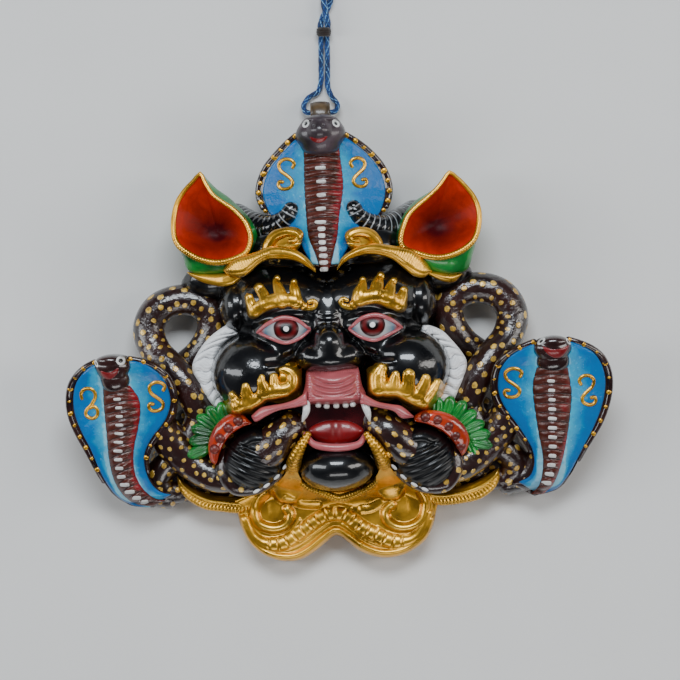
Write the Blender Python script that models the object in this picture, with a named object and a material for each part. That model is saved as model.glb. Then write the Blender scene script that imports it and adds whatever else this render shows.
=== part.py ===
"""Cast and painted wall mask of a horned beast, crowned and flanked by three cobras.

The mask lies on its back: +Z is the way the face looks, +Y is the top of the head and +X is
to the right of whoever looks at it. The origin is under the middle of the mask, on the floor.
The carving is laid out on a drawing in drawing units, which two driving sizes turn into metres.
"""
import math

import bmesh
import bpy
import numpy as np

# Driving sizes of the casting, in metres
MASK_WIDTH = 0.271       # across the two side cobras
MASK_DEPTH = 0.064       # from the flat back to the tip of the nose
WALL = 0.0045            # metal between the face and the hollow behind it
GRAIN = 0.0009           # cell that the forms are fused on, so creases round off by about this much

# Hanging eye and cord, in metres
CORD_DIAMETER = 0.0028   # one strand of the braid
DOUBLE_DIAMETER = 0.0068  # the thicker doubled braid above the binding
BINDING_LENGTH = 0.0045
BINDING_DIAMETER = 0.0078
KNOT_DIAMETER = 0.0105   # stopper knot at the top end
EYE_WIDTH = 0.010
EYE_WIRE = 0.0032        # metal between the hole of the eye and its outside
EYE_CLEARANCE = 0.0026   # free room all round the strand in the eye
GAP = 0.0003             # air between pieces that touch

# How many triangles the casting keeps
FACE_COUNT = 8600
HOLLOW_FACE_COUNT = 700

# The drawing: its size in drawing units, and the point on it that lies over the origin
DRAWING_WIDTH = 271.0
DRAWING_DEPTH = 64.0
DRAWING_ORIGIN = np.array([3.0, 3.0, 0.0])
ACROSS = MASK_WIDTH / DRAWING_WIDTH
OUT = MASK_DEPTH / DRAWING_DEPTH
SCALE = np.array([ACROSS, ACROSS, OUT])


def to_metres(points):
    """Drawing units to metres in the part's own frame."""
    return (np.asarray(points, float) - DRAWING_ORIGIN) * SCALE


# Curves

def curve(points, per_span=6, closed=False):
    """Smooth curve through the points: Catmull-Rom spans, each cut into per_span steps."""
    p = np.asarray(points, float)
    if closed:
        p = np.vstack([p[-1:], p, p[:2]])
    else:
        p = np.vstack([2 * p[0] - p[1], p, 2 * p[-1] - p[-2]])
    t = np.arange(per_span) / per_span
    t = t[:, None]
    spans = []
    for a, b, c, d in zip(p[:-3], p[1:-2], p[2:-1], p[3:]):
        spans.append(0.5 * (2 * b + (c - a) * t + (2 * a - 5 * b + 4 * c - d) * t ** 2
                            + (3 * b - a - 3 * c + d) * t ** 3))
    line = np.vstack(spans)
    return line if closed else np.vstack([line, p[-2]])


def mirrored(points):
    """The same points on the other side of the midline."""
    flipped = np.asarray(points, float).copy()
    flipped[..., 0] *= -1
    return flipped


# Closed shapes in drawing units, each returned as (corners, faces)

def skin(rings):
    """Closes a stack of rings, shape (rows, columns, 3), with a fan at each end."""
    rows, columns, _ = rings.shape
    corners = np.vstack([rings.reshape(-1, 3), rings[0].mean(axis=0), rings[-1].mean(axis=0)])
    faces = []
    for i in range(rows - 1):
        for j in range(columns):
            k = (j + 1) % columns
            faces.append((i * columns + j, i * columns + k, (i + 1) * columns + k, (i + 1) * columns + j))
    first, last = rows * columns, rows * columns + 1
    for j in range(columns):
        k = (j + 1) % columns
        faces.append((first, k, j))
        faces.append((last, (rows - 1) * columns + j, (rows - 1) * columns + k))
    return corners, faces


def blob(centre, radii, turn=0.0, square=1.0, rows=14, columns=24):
    """Ellipsoid, turned about z by a number of degrees; square below 1 makes its plan boxier."""
    a = np.linspace(0.06, math.pi - 0.06, rows)[:, None]
    b = np.linspace(0, 2 * math.pi, columns, endpoint=False)[None, :]
    x = radii[0] * np.sin(a) * np.sign(np.cos(b)) * np.abs(np.cos(b)) ** square
    y = radii[1] * np.sin(a) * np.sign(np.sin(b)) * np.abs(np.sin(b)) ** square
    z = -radii[2] * np.cos(a) * np.ones_like(b)
    c, s = math.cos(math.radians(turn)), math.sin(math.radians(turn))
    ring = np.stack([c * x - s * y, s * x + c * y, z], axis=2)
    return skin(ring + np.asarray(centre, float))


def tube(path, radii, flat=1.0, sides=14, per_span=6):
    """Round-ended tube along a smooth path; flat squeezes its height over its width."""
    line = curve(path, per_span)
    r = np.interp(np.linspace(0, 1, len(line)), np.linspace(0, 1, len(radii)), radii)
    along = np.gradient(line, axis=0)
    along /= np.linalg.norm(along, axis=1)[:, None]
    ends = np.radians([75, 50, 25])
    line = np.vstack([line[0] - np.outer(r[0] * np.sin(ends), along[0]), line,
                      line[-1] + np.outer(r[-1] * np.sin(ends[::-1]), along[-1])])
    r = np.concatenate([r[0] * np.cos(ends), r, r[-1] * np.cos(ends[::-1])])
    along = np.vstack([np.repeat(along[:1], 3, axis=0), along, np.repeat(along[-1:], 3, axis=0)])
    side = np.cross(along, [0, 0, 1.0])
    side /= np.linalg.norm(side, axis=1)[:, None]
    up = np.cross(side, along)
    a = np.linspace(0, 2 * math.pi, sides, endpoint=False)
    ring = (line[:, None] + r[:, None, None] * (np.cos(a)[:, None] * side[:, None]
                                                + flat * np.sin(a)[:, None] * up[:, None]))
    return skin(ring[:, ::-1])


def stack(outline, centre, levels, height):
    """Rings of one outline drawn in towards its centre: each level is (share, drop, shift x, shift y)
    and height(x, y) is the surface that the drops are measured from."""
    edge = curve(outline, 4, closed=True)
    rings = []
    for share, drop, dx, dy in levels:
        flat = np.asarray(centre) + share * (edge - centre) + (dx, dy)
        rings.append(np.column_stack([flat, height(flat[:, 0], flat[:, 1]) + drop]))
    return skin(np.array(rings))


def plate(outline, centre, low, high, crown):
    """Plate with a rounded edge: flat below at low, edge at high, middle higher by crown."""
    levels = [(0.4, low - high, 0, 0), (0.93, low - high, 0, 0), (1.0, -0.35 * (high - low), 0, 0),
              (0.97, 0.0, 0, 0), (0.8, 0.55 * crown, 0, 0), (0.5, 0.9 * crown, 0, 0),
              (0.2, crown, 0, 0)]
    return stack(outline, centre, levels, lambda x, y: np.full_like(x, high))


def hood(rows, heights, drop, thick, belly):
    """Spread hood: rows are (left rim, spine, right rim) from head to tail, heights the front of the
    spine at each row. The front falls by drop towards the rims, with the belly raised between."""
    rows = np.asarray(rows, float)
    fine = np.stack([curve(rows[:, k], 4) for k in range(3)], axis=1)
    z = np.interp(np.linspace(0, 1, len(fine)), np.linspace(0, 1, len(heights)), heights)
    u = np.array([-1, -0.93, -0.75, -0.5, -0.3, -0.15, 0, 0.15, 0.3, 0.5, 0.75, 0.93, 1])
    left, spine, right = fine[:, 0], fine[:, 1], fine[:, 2]
    flat = np.where(u[None, :, None] < 0, spine[:, None] - u[None, :, None] * (left - spine)[:, None],
                    spine[:, None] + u[None, :, None] * (right - spine)[:, None])
    spread = np.linalg.norm(right - left, axis=1) / np.linalg.norm(right - left, axis=1).max()
    rise = belly * np.exp(-(u / 0.3) ** 4) + 1.2 * np.exp(-((np.abs(u) - 0.93) / 0.08) ** 2)
    front = z[:, None] - drop * spread[:, None] * np.abs(u) ** 1.6 + rise
    depth = thick + 8.0 * np.maximum(0, 1 - 1.5 * np.abs(u)) ** 1.0
    back = front - depth
    top = np.dstack([flat, front])
    under = np.dstack([flat, back])[:, ::-1]
    return skin(np.concatenate([top, under], axis=1)[:, ::-1])


# The drawing of each form: x, y, z in drawing units, right-hand forms where both sides match

# Forms that the hollow behind the face follows: each is (centre, radii)
SHELL = [
    ((0, 4, 8), (52, 34, 36)),          # skull, down to the wall
    ((20, 18.5, 24), (28, 17, 26)),     # forehead
    ((26, 27, 10), (30, 15, 30)),       # top of the head behind the brow band
    ((38, -17, 31), (21.5, 19.5, 22)),  # cheek
    ((32, -17, 10), (29, 27, 30)),      # side of the head behind the cheek
    ((30, -46, 8), (30, 26, 24)),       # jaw
    ((0, -50, 6), (34, 32, 25)),        # floor of the mouth
    ((46, -56, 8), (25, 24, 24)),       # root of the fist
]
TEMPLE = ((47, 16, 22), (7, 11, 17))
CHEEKBONE = ((22, -5, 32), (18, 9, 14))
EAR_ROOT = ((57, 31, 10), (17, 11, 17))
HORN_ROOT = ((27, 47, 20), (25, 12, 16))
EYEBALL = ((22.4, 4.2, 37.5), (14.5, 8.2, 13.5))
NOSE = [
    ((0, -5.5, 50), (9.5, 9, 13.5)),    # ball of the nose
    ((8.8, -10.5, 45), (7.8, 7.8, 13)),  # nostril wing
    ((0, 8, 40), (9, 16, 14)),          # bridge
]
MUZZLE = ((0, -22, 38), (16, 12.5, 18))
LIP = ((0, -28, 40), (17, 5, 16))
TONGUE = ((0, -46.5, 33), (13.5, 7, 10))
CHIN = ((0, -65.5, 32), (18.4, 12.3, 20))
FIST = ((42, -60, 33), (15, 15, 15))

EYELID = [(8, 2.6, 45), (13.5, 8.8, 49), (21.5, 11.4, 50), (30, 9, 48), (36.3, 3.4, 43),
          (30.5, -1.6, 47), (22, -3.6, 49.5), (14, -1.6, 48.5)]
SIDE_LIP = [(11, -28, 53), (16, -31.5, 54), (25, -33.2, 54), (35, -35, 52), (45, -39, 47)]
LOWER_LIP = [(-15, -48.5, 42), (-11, -53.2, 45), (0, -55.8, 46.5), (11, -53.6, 45), (15, -49.5, 42)]
MOUTH_SNAKE = [(22.5, -44.5, 36), (27, -49, 38), (34, -55.5, 36), (42, -62, 30), (52, -67.5, 24),
               (62, -67, 21), (73, -60, 19), (82, -50, 20), (88, -40, 22)]
LOWER_COIL = [(66, -34, 20), (69, -44, 18), (77, -54, 15), (86, -61, 13), (90, -68, 11),
              (86, -74.5, 9), (80, -75, 8)]
LOOP = [(84, -24, 8), (77, -14, 8), (67, -6, 10), (60.5, 3, 12), (59.5, 12, 13), (65, 19, 13),
        (75, 21.3, 13), (86, 17.5, 13), (91.5, 7.5, 13), (88.5, -4, 15), (80, -13.5, 20),
        (72.5, -23.5, 22), (67, -34, 21)]
HORN = [(46, 55, 14), (38, 55.5, 20), (30, 54, 26), (23.5, 56, 30), (19.5, 60.5, 31.5),
        (17, 65.5, 31)]

BROW_BAND = [(5.5, 33, 50), (11, 37.5, 49), (19, 41.7, 47), (28, 42.3, 45), (36, 39.5, 42),
             (43.5, 35, 38.5), (51, 31.8, 33)]
BROW_CURL = [(31, 44, 42), (27.5, 50, 42), (22, 53.3, 41.5), (15.5, 52.8, 41), (13.5, 50, 41),
             (17.5, 48.6, 41.5)]
EAR_RIM = [(47, 30.5, 33), (57, 28.8, 27), (68, 31.5, 19)]
EYEBROW = [(8.5, 16.8, 50), (13.5, 17, 51), (21, 18.3, 51), (29, 17.5, 49), (37, 16, 45)]
EYEBROW_FLAMES = [[(17, 19, 51.5), (15, 24, 51), (17, 28.7, 49.5)],
                  [(24, 20, 51.5), (22.8, 25.5, 50.5), (26, 30.6, 48.5)],
                  [(31, 19, 50), (30.5, 24, 49), (34, 28, 46.5)],
                  [(36, 17, 47), (37.5, 20.5, 45.5), (40.5, 23.5, 43)]]
MOUSTACHE = [(17.5, -24.5, 52), (24, -26.5, 54), (31, -26.5, 54), (38, -28.5, 52), (46, -33.5, 46.5)]
MOUSTACHE_CURL = [(19, -26, 53), (17.5, -20.5, 54), (21.5, -16.3, 54.5), (25.5, -19, 54.5),
                  (22.5, -21.5, 55)]
MOUSTACHE_FLAMES = [[(27, -25, 54), (27.5, -19, 54), (30, -16.8, 53)],
                    [(32, -26, 54), (33.5, -21, 53.5), (37, -18, 52.5)],
                    [(38, -28, 52.5), (40.5, -24.5, 52), (45, -21.3, 50.5)],
                    [(44, -31, 49), (47.5, -27.5, 48.5), (52.5, -25, 46.5)],
                    [(44, -33, 48), (48, -33, 46), (53, -31, 43)]]
RUFF = [(49, 5.5, 27), (56, 0.5, 26), (62, -6, 25), (64, -14, 25), (62.5, -22.5, 25),
        (59, -29, 25), (55.5, -34, 25)]
CUFF = [(41.5, -41.5, 42), (49, -40.8, 42), (56, -44.2, 39.5), (61, -50.2, 36), (62.5, -57, 32)]
FRILL = [(51, -37, 33), (60, -38, 31), (67, -44, 28.5), (70.5, -52, 26), (68, -58, 24)]
FRILL_LOBES = 8
FRILL_LOBE = (5.4, 3.4, 5.0)

EAR = [(62, 82), (67, 76.5), (72.5, 69), (75.3, 62), (75.8, 55), (73.5, 48), (67.5, 42.5), (58, 39),
       (49.5, 39.3), (42, 42.5), (38.2, 48), (38.6, 54), (43, 61), (50, 68), (56, 73.5), (59.5, 78.5)]
EAR_CENTRE = (56, 54)
EAR_WALLS = [(0.05, -13.5, 2, -2), (0.45, -12.5, 1.5, -1.5), (0.75, -8.5, 0.8, -0.8),
             (0.93, -2.5, 0, 0), (0.97, 0, 0, 0), (1.02, -0.3, 0, 0), (1.07, -4.5, -1.4, -1.8),
             (1.05, -9.5, -2.2, -2.8), (0.85, -15.5, -3, -3.6), (0.45, -19.5, -4, -4),
             (0.05, -20.5, -4, -4)]

CREST = [((-13.5, 101), (-1.5, 103), (11.5, 100.5)), ((-18.5, 97), (-1.2, 97), (18, 96)),
         ((-24, 91.5), (-1, 91), (24, 90.5)), ((-28.5, 86.5), (-1, 85.5), (28.5, 85)),
         ((-31.8, 80.5), (-0.8, 79.5), (31.2, 79.5)), ((-33.6, 74), (-1, 73), (32.6, 73.5)),
         ((-33, 69), (-1.5, 67), (32, 67.5)), ((-31, 64.5), (-1.8, 61.5), (29.8, 62.5)),
         ((-27, 60), (-2, 56), (25.5, 58)), ((-20, 55), (-2, 50), (17, 53)),
         ((-13, 48), (-1.7, 44), (9.5, 47)), ((-8, 40), (-1.5, 38.5), (5, 40)),
         ((-4, 35), (-1.5, 34), (1.5, 35))]
CREST_HEIGHTS = [31, 32, 31, 30, 30, 30, 31, 33, 36, 40, 44, 47, 49]
CREST_HEAD = [((-1.2, 102, 33), (12.2, 8.6, 10)), ((-1.2, 97, 33), (9.5, 8, 9))]
CREST_SPINE = [(-1, 40, 26), (-1, 60, 19), (-1, 80, 16), (-0.8, 92, 14.5), (-0.7, 99, 12)]

LEFT_HOOD = [((-118, -8), (-110.5, -8.5), (-101, -7)), ((-124, -11), (-109.5, -14), (-92, -9.5)),
             ((-129, -16), (-108.5, -19), (-86.5, -13)), ((-131.5, -21), (-108, -24), (-82, -18)),
             ((-132.5, -28), (-107.5, -30), (-79.3, -26)), ((-131.5, -36), (-107.5, -37), (-80, -34)),
             ((-128, -45), (-108, -45), (-84, -41)), ((-124, -53), (-108.5, -53), (-90.5, -48.5)),
             ((-120.5, -61), (-108, -60.5), (-94.5, -56)), ((-117, -68), (-106.5, -67.5), (-94.5, -64)),
             ((-112, -75.5), (-103.5, -74.5), (-91.5, -71)), ((-104, -81), (-98.5, -78.5), (-87, -75)),
             ((-93, -82.7), (-90, -79.8), (-81, -76.5))]
RIGHT_HOOD = [((101, -7), (109.5, -8.5), (118, -6.5)), ((93, -10), (110, -14), (126, -9.5)),
              ((87, -13.5), (110, -19), (133, -14)), ((82, -19), (109.5, -24), (137, -20.5)),
              ((80, -26), (109, -30), (138.5, -28)), ((80.5, -33.5), (109, -37), (137.5, -36)),
              ((84, -41), (109, -45), (135, -44)), ((89, -48), (108.5, -53), (131, -52)),
              ((94, -55), (108, -60), (126, -59.5)), ((97.5, -61.5), (107.5, -67), (121.5, -67)),
              ((98, -68.5), (107, -74), (117.5, -74)), ((95.5, -74.5), (103.5, -79.5), (111, -81.5)),
              ((88, -78), (94, -82), (99, -84.7))]
HOOD_HEIGHTS = [44, 43, 41, 39.5, 38, 37, 35.5, 33, 30, 26.5, 22, 17.5, 13]
HOOD_DROP = 8.0
HOOD_THICK = 5.0
BELLY_RISE = 2.5
HOOD_HEADS = [((-110.5, -10.5, 41), (10, 6, 8)), ((109.5, -10.5, 41), (10.5, 6, 8))]
HOOD_NECK = [(111, -14, 28), (109.5, -30, 25), (108, -46, 21), (105, -62, 15), (97, -73, 10),
             (86, -77, 8)]

BASE_LOBE = [(50, -86), (49.8, -93), (46.5, -102), (39.5, -109), (29.5, -112.3), (19, -111),
             (10, -106.5), (3, -101), (-4, -98), (-4, -86), (2, -76), (18, -71), (36, -73),
             (46, -78)]
BASE_CENTRE = (26, -91)
BASE_LOW, BASE_EDGE, BASE_CROWN = -2.0, 11.0, 3.5
WING = [(80.5, -68.5, 15), (75, -75.5, 14), (68, -80, 13), (58, -81.5, 12.5), (48, -81, 12.5)]
BEARD = [(13.2, -48, 47), (17.5, -54, 46), (21.5, -61, 41), (24.5, -68, 33), (27, -75, 24),
         (31, -81, 16)]
COLLAR = [(22, -71.5, 26), (12, -77, 25), (0, -80.5, 24), (-12, -77, 25), (-22, -71.5, 26)]
BACKING = [(48, -24), (60, -28), (74, -32), (84, -40), (91, -52), (94, -64), (88, -76), (74, -81),
           (58, -82), (44, -80), (36, -60)]
BACKING_CENTRE = (66, -58)
BACKING_HIGH, BACKING_CROWN = 9.0, 3.0
FANG = [(14, -33, 48), (15.6, -38, 48.5), (16.3, -42.5, 46.5)]
MIDDLE_RIDGE = [(46.5, -85, 15), (45.5, -94, 15), (40, -101.5, 15.5), (31, -103.7, 16),
                (22, -101, 16.5), (14, -95.5, 17), (7, -90.5, 17), (0, -89, 17)]
OUTER_RIDGE = [(48, -91, 12.5), (45, -101.5, 12.5), (38.5, -106.8, 13), (29, -108.6, 13),
               (20, -106.6, 13), (12, -101.8, 13), (5, -96.5, 13)]
SPIRAL_CENTRE = (31.5, -87.2)
SPIRAL_TURNS = 1.35
SPIRAL_OUTER = 9.5
SPIRAL_INNER = 2.5

FINGERS = 4
FINGER_TURN = -50.0      # degrees, the way the fingers run down and in
FINGER_PITCH = 6.6
FINGER_RADIUS = 3.9

# Forms made of several shapes

def spiral():
    """Ridge of one spiral: the radius shrinks evenly with the turn."""
    a = np.linspace(0, SPIRAL_TURNS * 2 * math.pi, 12)
    r = np.linspace(SPIRAL_OUTER, SPIRAL_INNER, 12)
    turn = a + math.radians(60)
    return np.column_stack([SPIRAL_CENTRE[0] + r * np.cos(turn), SPIRAL_CENTRE[1] + r * np.sin(turn),
                            np.linspace(15, 17.5, 12)])


def fist():
    """Right fist: fingers side by side over a ball, bent over it from knuckle to nail."""
    (cx, cy, cz), (rx, ry, rz) = FIST
    run = np.array([-math.cos(math.radians(FINGER_TURN)), math.sin(math.radians(FINGER_TURN))])
    across = np.array([run[1], -run[0]])
    shapes = [blob(*FIST)]
    for k in range(FINGERS):
        off = (k - (FINGERS - 1) / 2) * FINGER_PITCH
        path = []
        for a in np.radians([-68, -40, -10, 20, 50, 72]):
            reach = math.sqrt(max(0.0, 1 - (off / (rx + 3)) ** 2))
            flat = np.array([cx, cy]) + run * rx * reach * math.sin(a) + across * off
            path.append((flat[0], flat[1], cz + (rz - 0.6) * reach * math.cos(a)))
        shapes.append(tube(path, [FINGER_RADIUS] * 3 + [FINGER_RADIUS - 0.6], per_span=4))
    return shapes


def frill():
    """Leaf-like lobes of the sleeve, side by side outside the cuff, each turned to point outwards."""
    line = curve(FRILL, 8)
    shapes = []
    for k in range(FRILL_LOBES):
        i = round(k * (len(line) - 1) / (FRILL_LOBES - 1))
        step = line[min(i + 1, len(line) - 1)] - line[max(i - 1, 0)]
        turn = math.degrees(math.atan2(step[1], step[0])) + 90
        shapes.append(blob(line[i], FRILL_LOBE, turn, rows=8, columns=12))
    return shapes


def one_side():
    """Every form of the right-hand half that has a mirror image."""
    shapes = [blob(*form) for form in SHELL + NOSE + [TEMPLE, CHEEKBONE, EAR_ROOT, HORN_ROOT, EYEBALL]]
    shapes += fist() + frill()
    shapes.append(tube(EYELID + EYELID[:1], [1.8]))
    shapes.append(tube(FANG, [1.8, 1.6, 0.7]))
    shapes.append(plate(BACKING, np.array(BACKING_CENTRE, float), BASE_LOW, BACKING_HIGH, BACKING_CROWN))
    shapes.append(tube(SIDE_LIP, [3, 3.2, 2.8, 2.4, 1.6]))
    shapes.append(tube(MOUTH_SNAKE, [8.5, 9.5, 10, 9, 8.5, 8.5, 9, 9.5, 8]))
    shapes.append(tube(LOWER_COIL, [8, 8, 8, 8, 7.5, 7, 6]))
    shapes.append(tube(LOOP, [7, 7, 7.2, 7.6, 7.8, 7.8, 7.8, 8, 8, 8, 8, 8, 8]))
    shapes.append(tube(HORN, [10, 9.5, 8, 6, 4.6, 3]))
    shapes.append(tube(BROW_BAND, [1.4, 2.6, 3.2, 3.6, 3.8, 5, 3]))
    shapes.append(tube(BROW_CURL, [3, 2.8, 2.6, 2.4, 2.2, 1.6]))
    shapes.append(tube(EAR_RIM, [2.4, 2.6, 1.6]))
    shapes.append(tube(EYEBROW, [2.4, 3, 4, 4, 2]))
    shapes += [tube(flame, [3.6, 3.2, 1.2], per_span=4) for flame in EYEBROW_FLAMES]
    shapes.append(tube(MOUSTACHE, [3, 4.2, 4.4, 4.2, 3.4]))
    shapes.append(tube(MOUSTACHE_CURL, [3, 2.8, 2.6, 2.4, 1.8]))
    shapes += [tube(flame, [3.6, 3.2, 1.2], per_span=4) for flame in MOUSTACHE_FLAMES]
    shapes.append(tube(RUFF, [3, 4.6, 5.2, 5.4, 5.2, 4.6, 2.6]))
    shapes.append(tube(CUFF, [2.4, 4.2, 4.4, 4.2, 2.6]))
    shapes.append(tube(BEARD, [1.9, 2.5, 3.1, 3.8, 5, 6]))
    shapes.append(tube(WING, [1.2, 3.4, 4.2, 4.2, 4.2]))
    shapes.append(plate(BASE_LOBE, np.array(BASE_CENTRE, float), BASE_LOW, BASE_EDGE, BASE_CROWN))
    shapes.append(tube(MIDDLE_RIDGE, [1.6, 2.2, 2.6, 2.6, 2.6, 2.4, 2.2, 2]))
    shapes.append(tube(OUTER_RIDGE, [1.6] * 7))
    shapes.append(tube(spiral(), [2.0] * 12))
    shapes.append(stack(EAR, np.array(EAR_CENTRE, float), EAR_WALLS, ear_rim_height))
    return shapes


def ear_rim_height(x, y):
    """The rim of the ear leans: highest low down by the head, lowest at the outer edge and the tip."""
    return 34.0 - 0.16 * (x - EAR_CENTRE[0]) - 0.14 * (y - EAR_CENTRE[1])


def middle():
    """Forms on the midline and the side cobras, which differ a little from each other."""
    shapes = [blob(*MUZZLE, square=0.6), blob(*LIP, square=0.7), blob(*TONGUE), blob(*CHIN)]
    shapes.append(tube(LOWER_LIP, [1.8, 2.2, 2.4, 2.2, 1.8]))
    shapes.append(tube(COLLAR, [2.2] * 5))
    shapes.append(hood(CREST, CREST_HEIGHTS, HOOD_DROP, HOOD_THICK, BELLY_RISE))
    shapes += [blob(*form) for form in CREST_HEAD]
    shapes.append(tube(CREST_SPINE, [9, 9, 8, 7, 6]))
    shapes.append(hood(LEFT_HOOD, HOOD_HEIGHTS, HOOD_DROP, HOOD_THICK, BELLY_RISE))
    shapes.append(hood(RIGHT_HOOD, HOOD_HEIGHTS, HOOD_DROP, HOOD_THICK, BELLY_RISE))
    shapes += [blob(*form) for form in HOOD_HEADS]
    for path in (HOOD_NECK, mirrored(HOOD_NECK)):
        shapes.append(tube(path, [7, 8, 8, 8, 7.5, 6.5]))
    return shapes


# Hanging eye, worked in metres because its hole has to take the cord

EYE_HOLE = CORD_DIAMETER + 2 * EYE_CLEARANCE
EYE_CENTRE = to_metres((-0.7, 111, 0)) + (0, 0, EYE_HOLE / 2 + EYE_WIRE)


def hanging_eye():
    """Short round sleeve across the back of the crest's head: ring of a square-ish wire."""
    middle_radius = (EYE_HOLE + EYE_WIRE) / 2
    a = np.linspace(0, 2 * math.pi, 32, endpoint=False)
    b = np.linspace(0, 2 * math.pi, 12, endpoint=False)
    width = np.sign(np.cos(b)) * np.abs(np.cos(b)) ** 0.5 * EYE_WIDTH / 2
    wall = middle_radius + np.sign(np.sin(b)) * np.abs(np.sin(b)) ** 0.7 * EYE_WIRE / 2
    ring = np.stack([np.broadcast_to(width, (32, 12)), np.outer(np.cos(a), wall),
                     np.outer(np.sin(a), wall)], axis=2) + EYE_CENTRE
    corners = ring.reshape(-1, 3)
    faces = []
    for i in range(32):
        for j in range(12):
            k, m = (i + 1) % 32, (j + 1) % 12
            faces.append((i * 12 + j, k * 12 + j, k * 12 + m, i * 12 + m))
    return corners, faces


# Meshes and objects

def material(name, colour, roughness, metallic):
    """Plain Principled material."""
    made = bpy.data.materials.new(name)
    made.use_nodes = True
    shader = made.node_tree.nodes["Principled BSDF"]
    shader.inputs["Base Color"].default_value = (*colour, 1)
    shader.inputs["Roughness"].default_value = roughness
    shader.inputs["Metallic"].default_value = metallic
    return made


def new_object(name, mesh):
    """Object with a mesh, in the scene."""
    made = bpy.data.objects.new(name, mesh)
    bpy.context.scene.collection.objects.link(made)
    return made


def joined(name, shapes):
    """One object out of many closed shapes, in metres, with every shape facing outwards."""
    mesh = bpy.data.meshes.new(name)
    corners, faces, start = [], [], 0
    for points, polygons in shapes:
        corners.append(points)
        faces += [tuple(start + i for i in polygon) for polygon in polygons]
        start += len(points)
    mesh.from_pydata(np.vstack(corners).tolist(), [], faces)
    work = bmesh.new()
    work.from_mesh(mesh)
    bmesh.ops.recalc_face_normals(work, faces=work.faces)
    work.to_mesh(mesh)
    work.free()
    return new_object(name, mesh)


def settle(made):
    """Turns an object's modifiers into its mesh."""
    evaluated = made.evaluated_get(bpy.context.evaluated_depsgraph_get())
    mesh = bpy.data.meshes.new_from_object(evaluated)
    made.modifiers.clear()
    made.data = mesh


def fuse(made, cell):
    """Melts overlapping shapes into one skin on a grid of cells."""
    melt = made.modifiers.new("melt", "REMESH")
    melt.mode = "VOXEL"
    melt.voxel_size = cell
    settle(made)
    drop_crumbs(made, cell)


def drop_crumbs(made, cell):
    """Deletes the specks, smaller than a cell, that fusing can leave inside the metal."""
    work = bmesh.new()
    work.from_mesh(made.data)
    left = set(work.verts)
    specks = []
    while left:
        island = {left.pop()}
        edge_of_island = list(island)
        while edge_of_island:
            corner = edge_of_island.pop()
            near = {edge.other_vert(corner) for edge in corner.link_edges} - island
            island |= near
            edge_of_island += near
        left -= island
        low, high = (np.array([f(c.co[i] for c in island) for i in range(3)]) for f in (min, max))
        if (high - low).max() < cell:
            specks += island
    bmesh.ops.delete(work, geom=specks, context="VERTS")
    work.to_mesh(made.data)
    work.free()


def thin_out(made, count):
    """Leaves about count triangles, fewest where the surface is flat."""
    triangles = sum(len(polygon.vertices) - 2 for polygon in made.data.polygons)
    fewer = made.modifiers.new("fewer faces", "DECIMATE")
    fewer.ratio = min(1.0, count / triangles)
    fewer.use_collapse_triangulate = True
    settle(made)


def below_the_wall():
    """Slab under the wall plane, larger than the mask."""
    size = 2 * MASK_WIDTH
    work = bmesh.new()
    bmesh.ops.create_cube(work, size=size)
    bmesh.ops.translate(work, vec=(0, 0, -size / 2), verts=work.verts)
    mesh = bpy.data.meshes.new("below the wall")
    work.to_mesh(mesh)
    work.free()
    return new_object("below the wall", mesh)


def take_away(made, cutter):
    """Exact subtraction of one closed mesh from another."""
    cut = made.modifiers.new("hollow", "BOOLEAN")
    cut.operation = "DIFFERENCE"
    cut.object = cutter
    settle(made)
    bpy.data.objects.remove(cutter, do_unlink=True)


def hollow():
    """Solid shape of the hollow: each form drawn in by the wall, on both sides of the midline."""
    wall = WALL / SCALE
    shapes = []
    for centre, radii in SHELL + [CHIN, FIST]:
        inner = np.asarray(radii) - wall
        shapes.append(blob(centre, inner, rows=12, columns=20))
        if centre[0]:
            shapes.append(blob(mirrored(centre), inner, rows=12, columns=20))
    made = joined("hollow", [(to_metres(points), faces) for points, faces in shapes])
    fuse(made, 2 * GRAIN)
    thin_out(made, HOLLOW_FACE_COUNT)
    return made


def casting():
    """The whole mask as one casting: forms fused, cut flat behind and hollowed."""
    right = one_side()
    left = [(mirrored(points), faces) for points, faces in right]
    shapes = [(to_metres(points), faces) for points, faces in right + left + middle()]
    made = joined("mask", shapes + [hanging_eye()])
    fuse(made, GRAIN)
    thin_out(made, FACE_COUNT)
    take_away(made, below_the_wall())
    take_away(made, hollow())
    made.data.shade_smooth()
    made.data.set_sharp_from_angle(angle=math.radians(50))
    made.data.materials.clear()
    made.data.materials.append(material("painted metal", (0.02, 0.02, 0.025), 0.25, 0.0))
    return made


# Cord, laid on the floor above the mask: each route is in metres, chosen by hand

LOOP_ROUTE = [(0.0012, 0.1479, 0.0014), (0.0011, 0.1400, 0.0014), (0.0008, 0.1310, 0.0014),
              (0.0006, 0.1230, 0.0015), (0.0024, 0.1176, 0.0024), (0.0050, 0.1138, 0.0045),
              (0.0040, 0.1102, 0.0066), (0.0004, 0.1096, 0.0072), (-0.0038, 0.1096, 0.0072),
              (-0.0078, 0.1096, 0.0072), (-0.0112, 0.1106, 0.0058), (-0.0118, 0.1142, 0.0034),
              (-0.0088, 0.1180, 0.0018), (-0.0044, 0.1206, 0.0014), (-0.0027, 0.1260, 0.0014),
              (-0.0024, 0.1320, 0.0014), (-0.0021, 0.1400, 0.0014), (-0.0018, 0.1479, 0.0014)]
BINDING_CENTRE = np.array([-0.0003, 0.1504, BINDING_DIAMETER / 2])
UPPER_ROUTE = [(0.0000, 0.1530, 0.0034), (0.0006, 0.1580, 0.0034), (0.0016, 0.1640, 0.0034),
               (0.0026, 0.1700, 0.0034), (0.0036, 0.1760, 0.0034)]
UPWARDS = (0.042, 1.0, 0)


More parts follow.
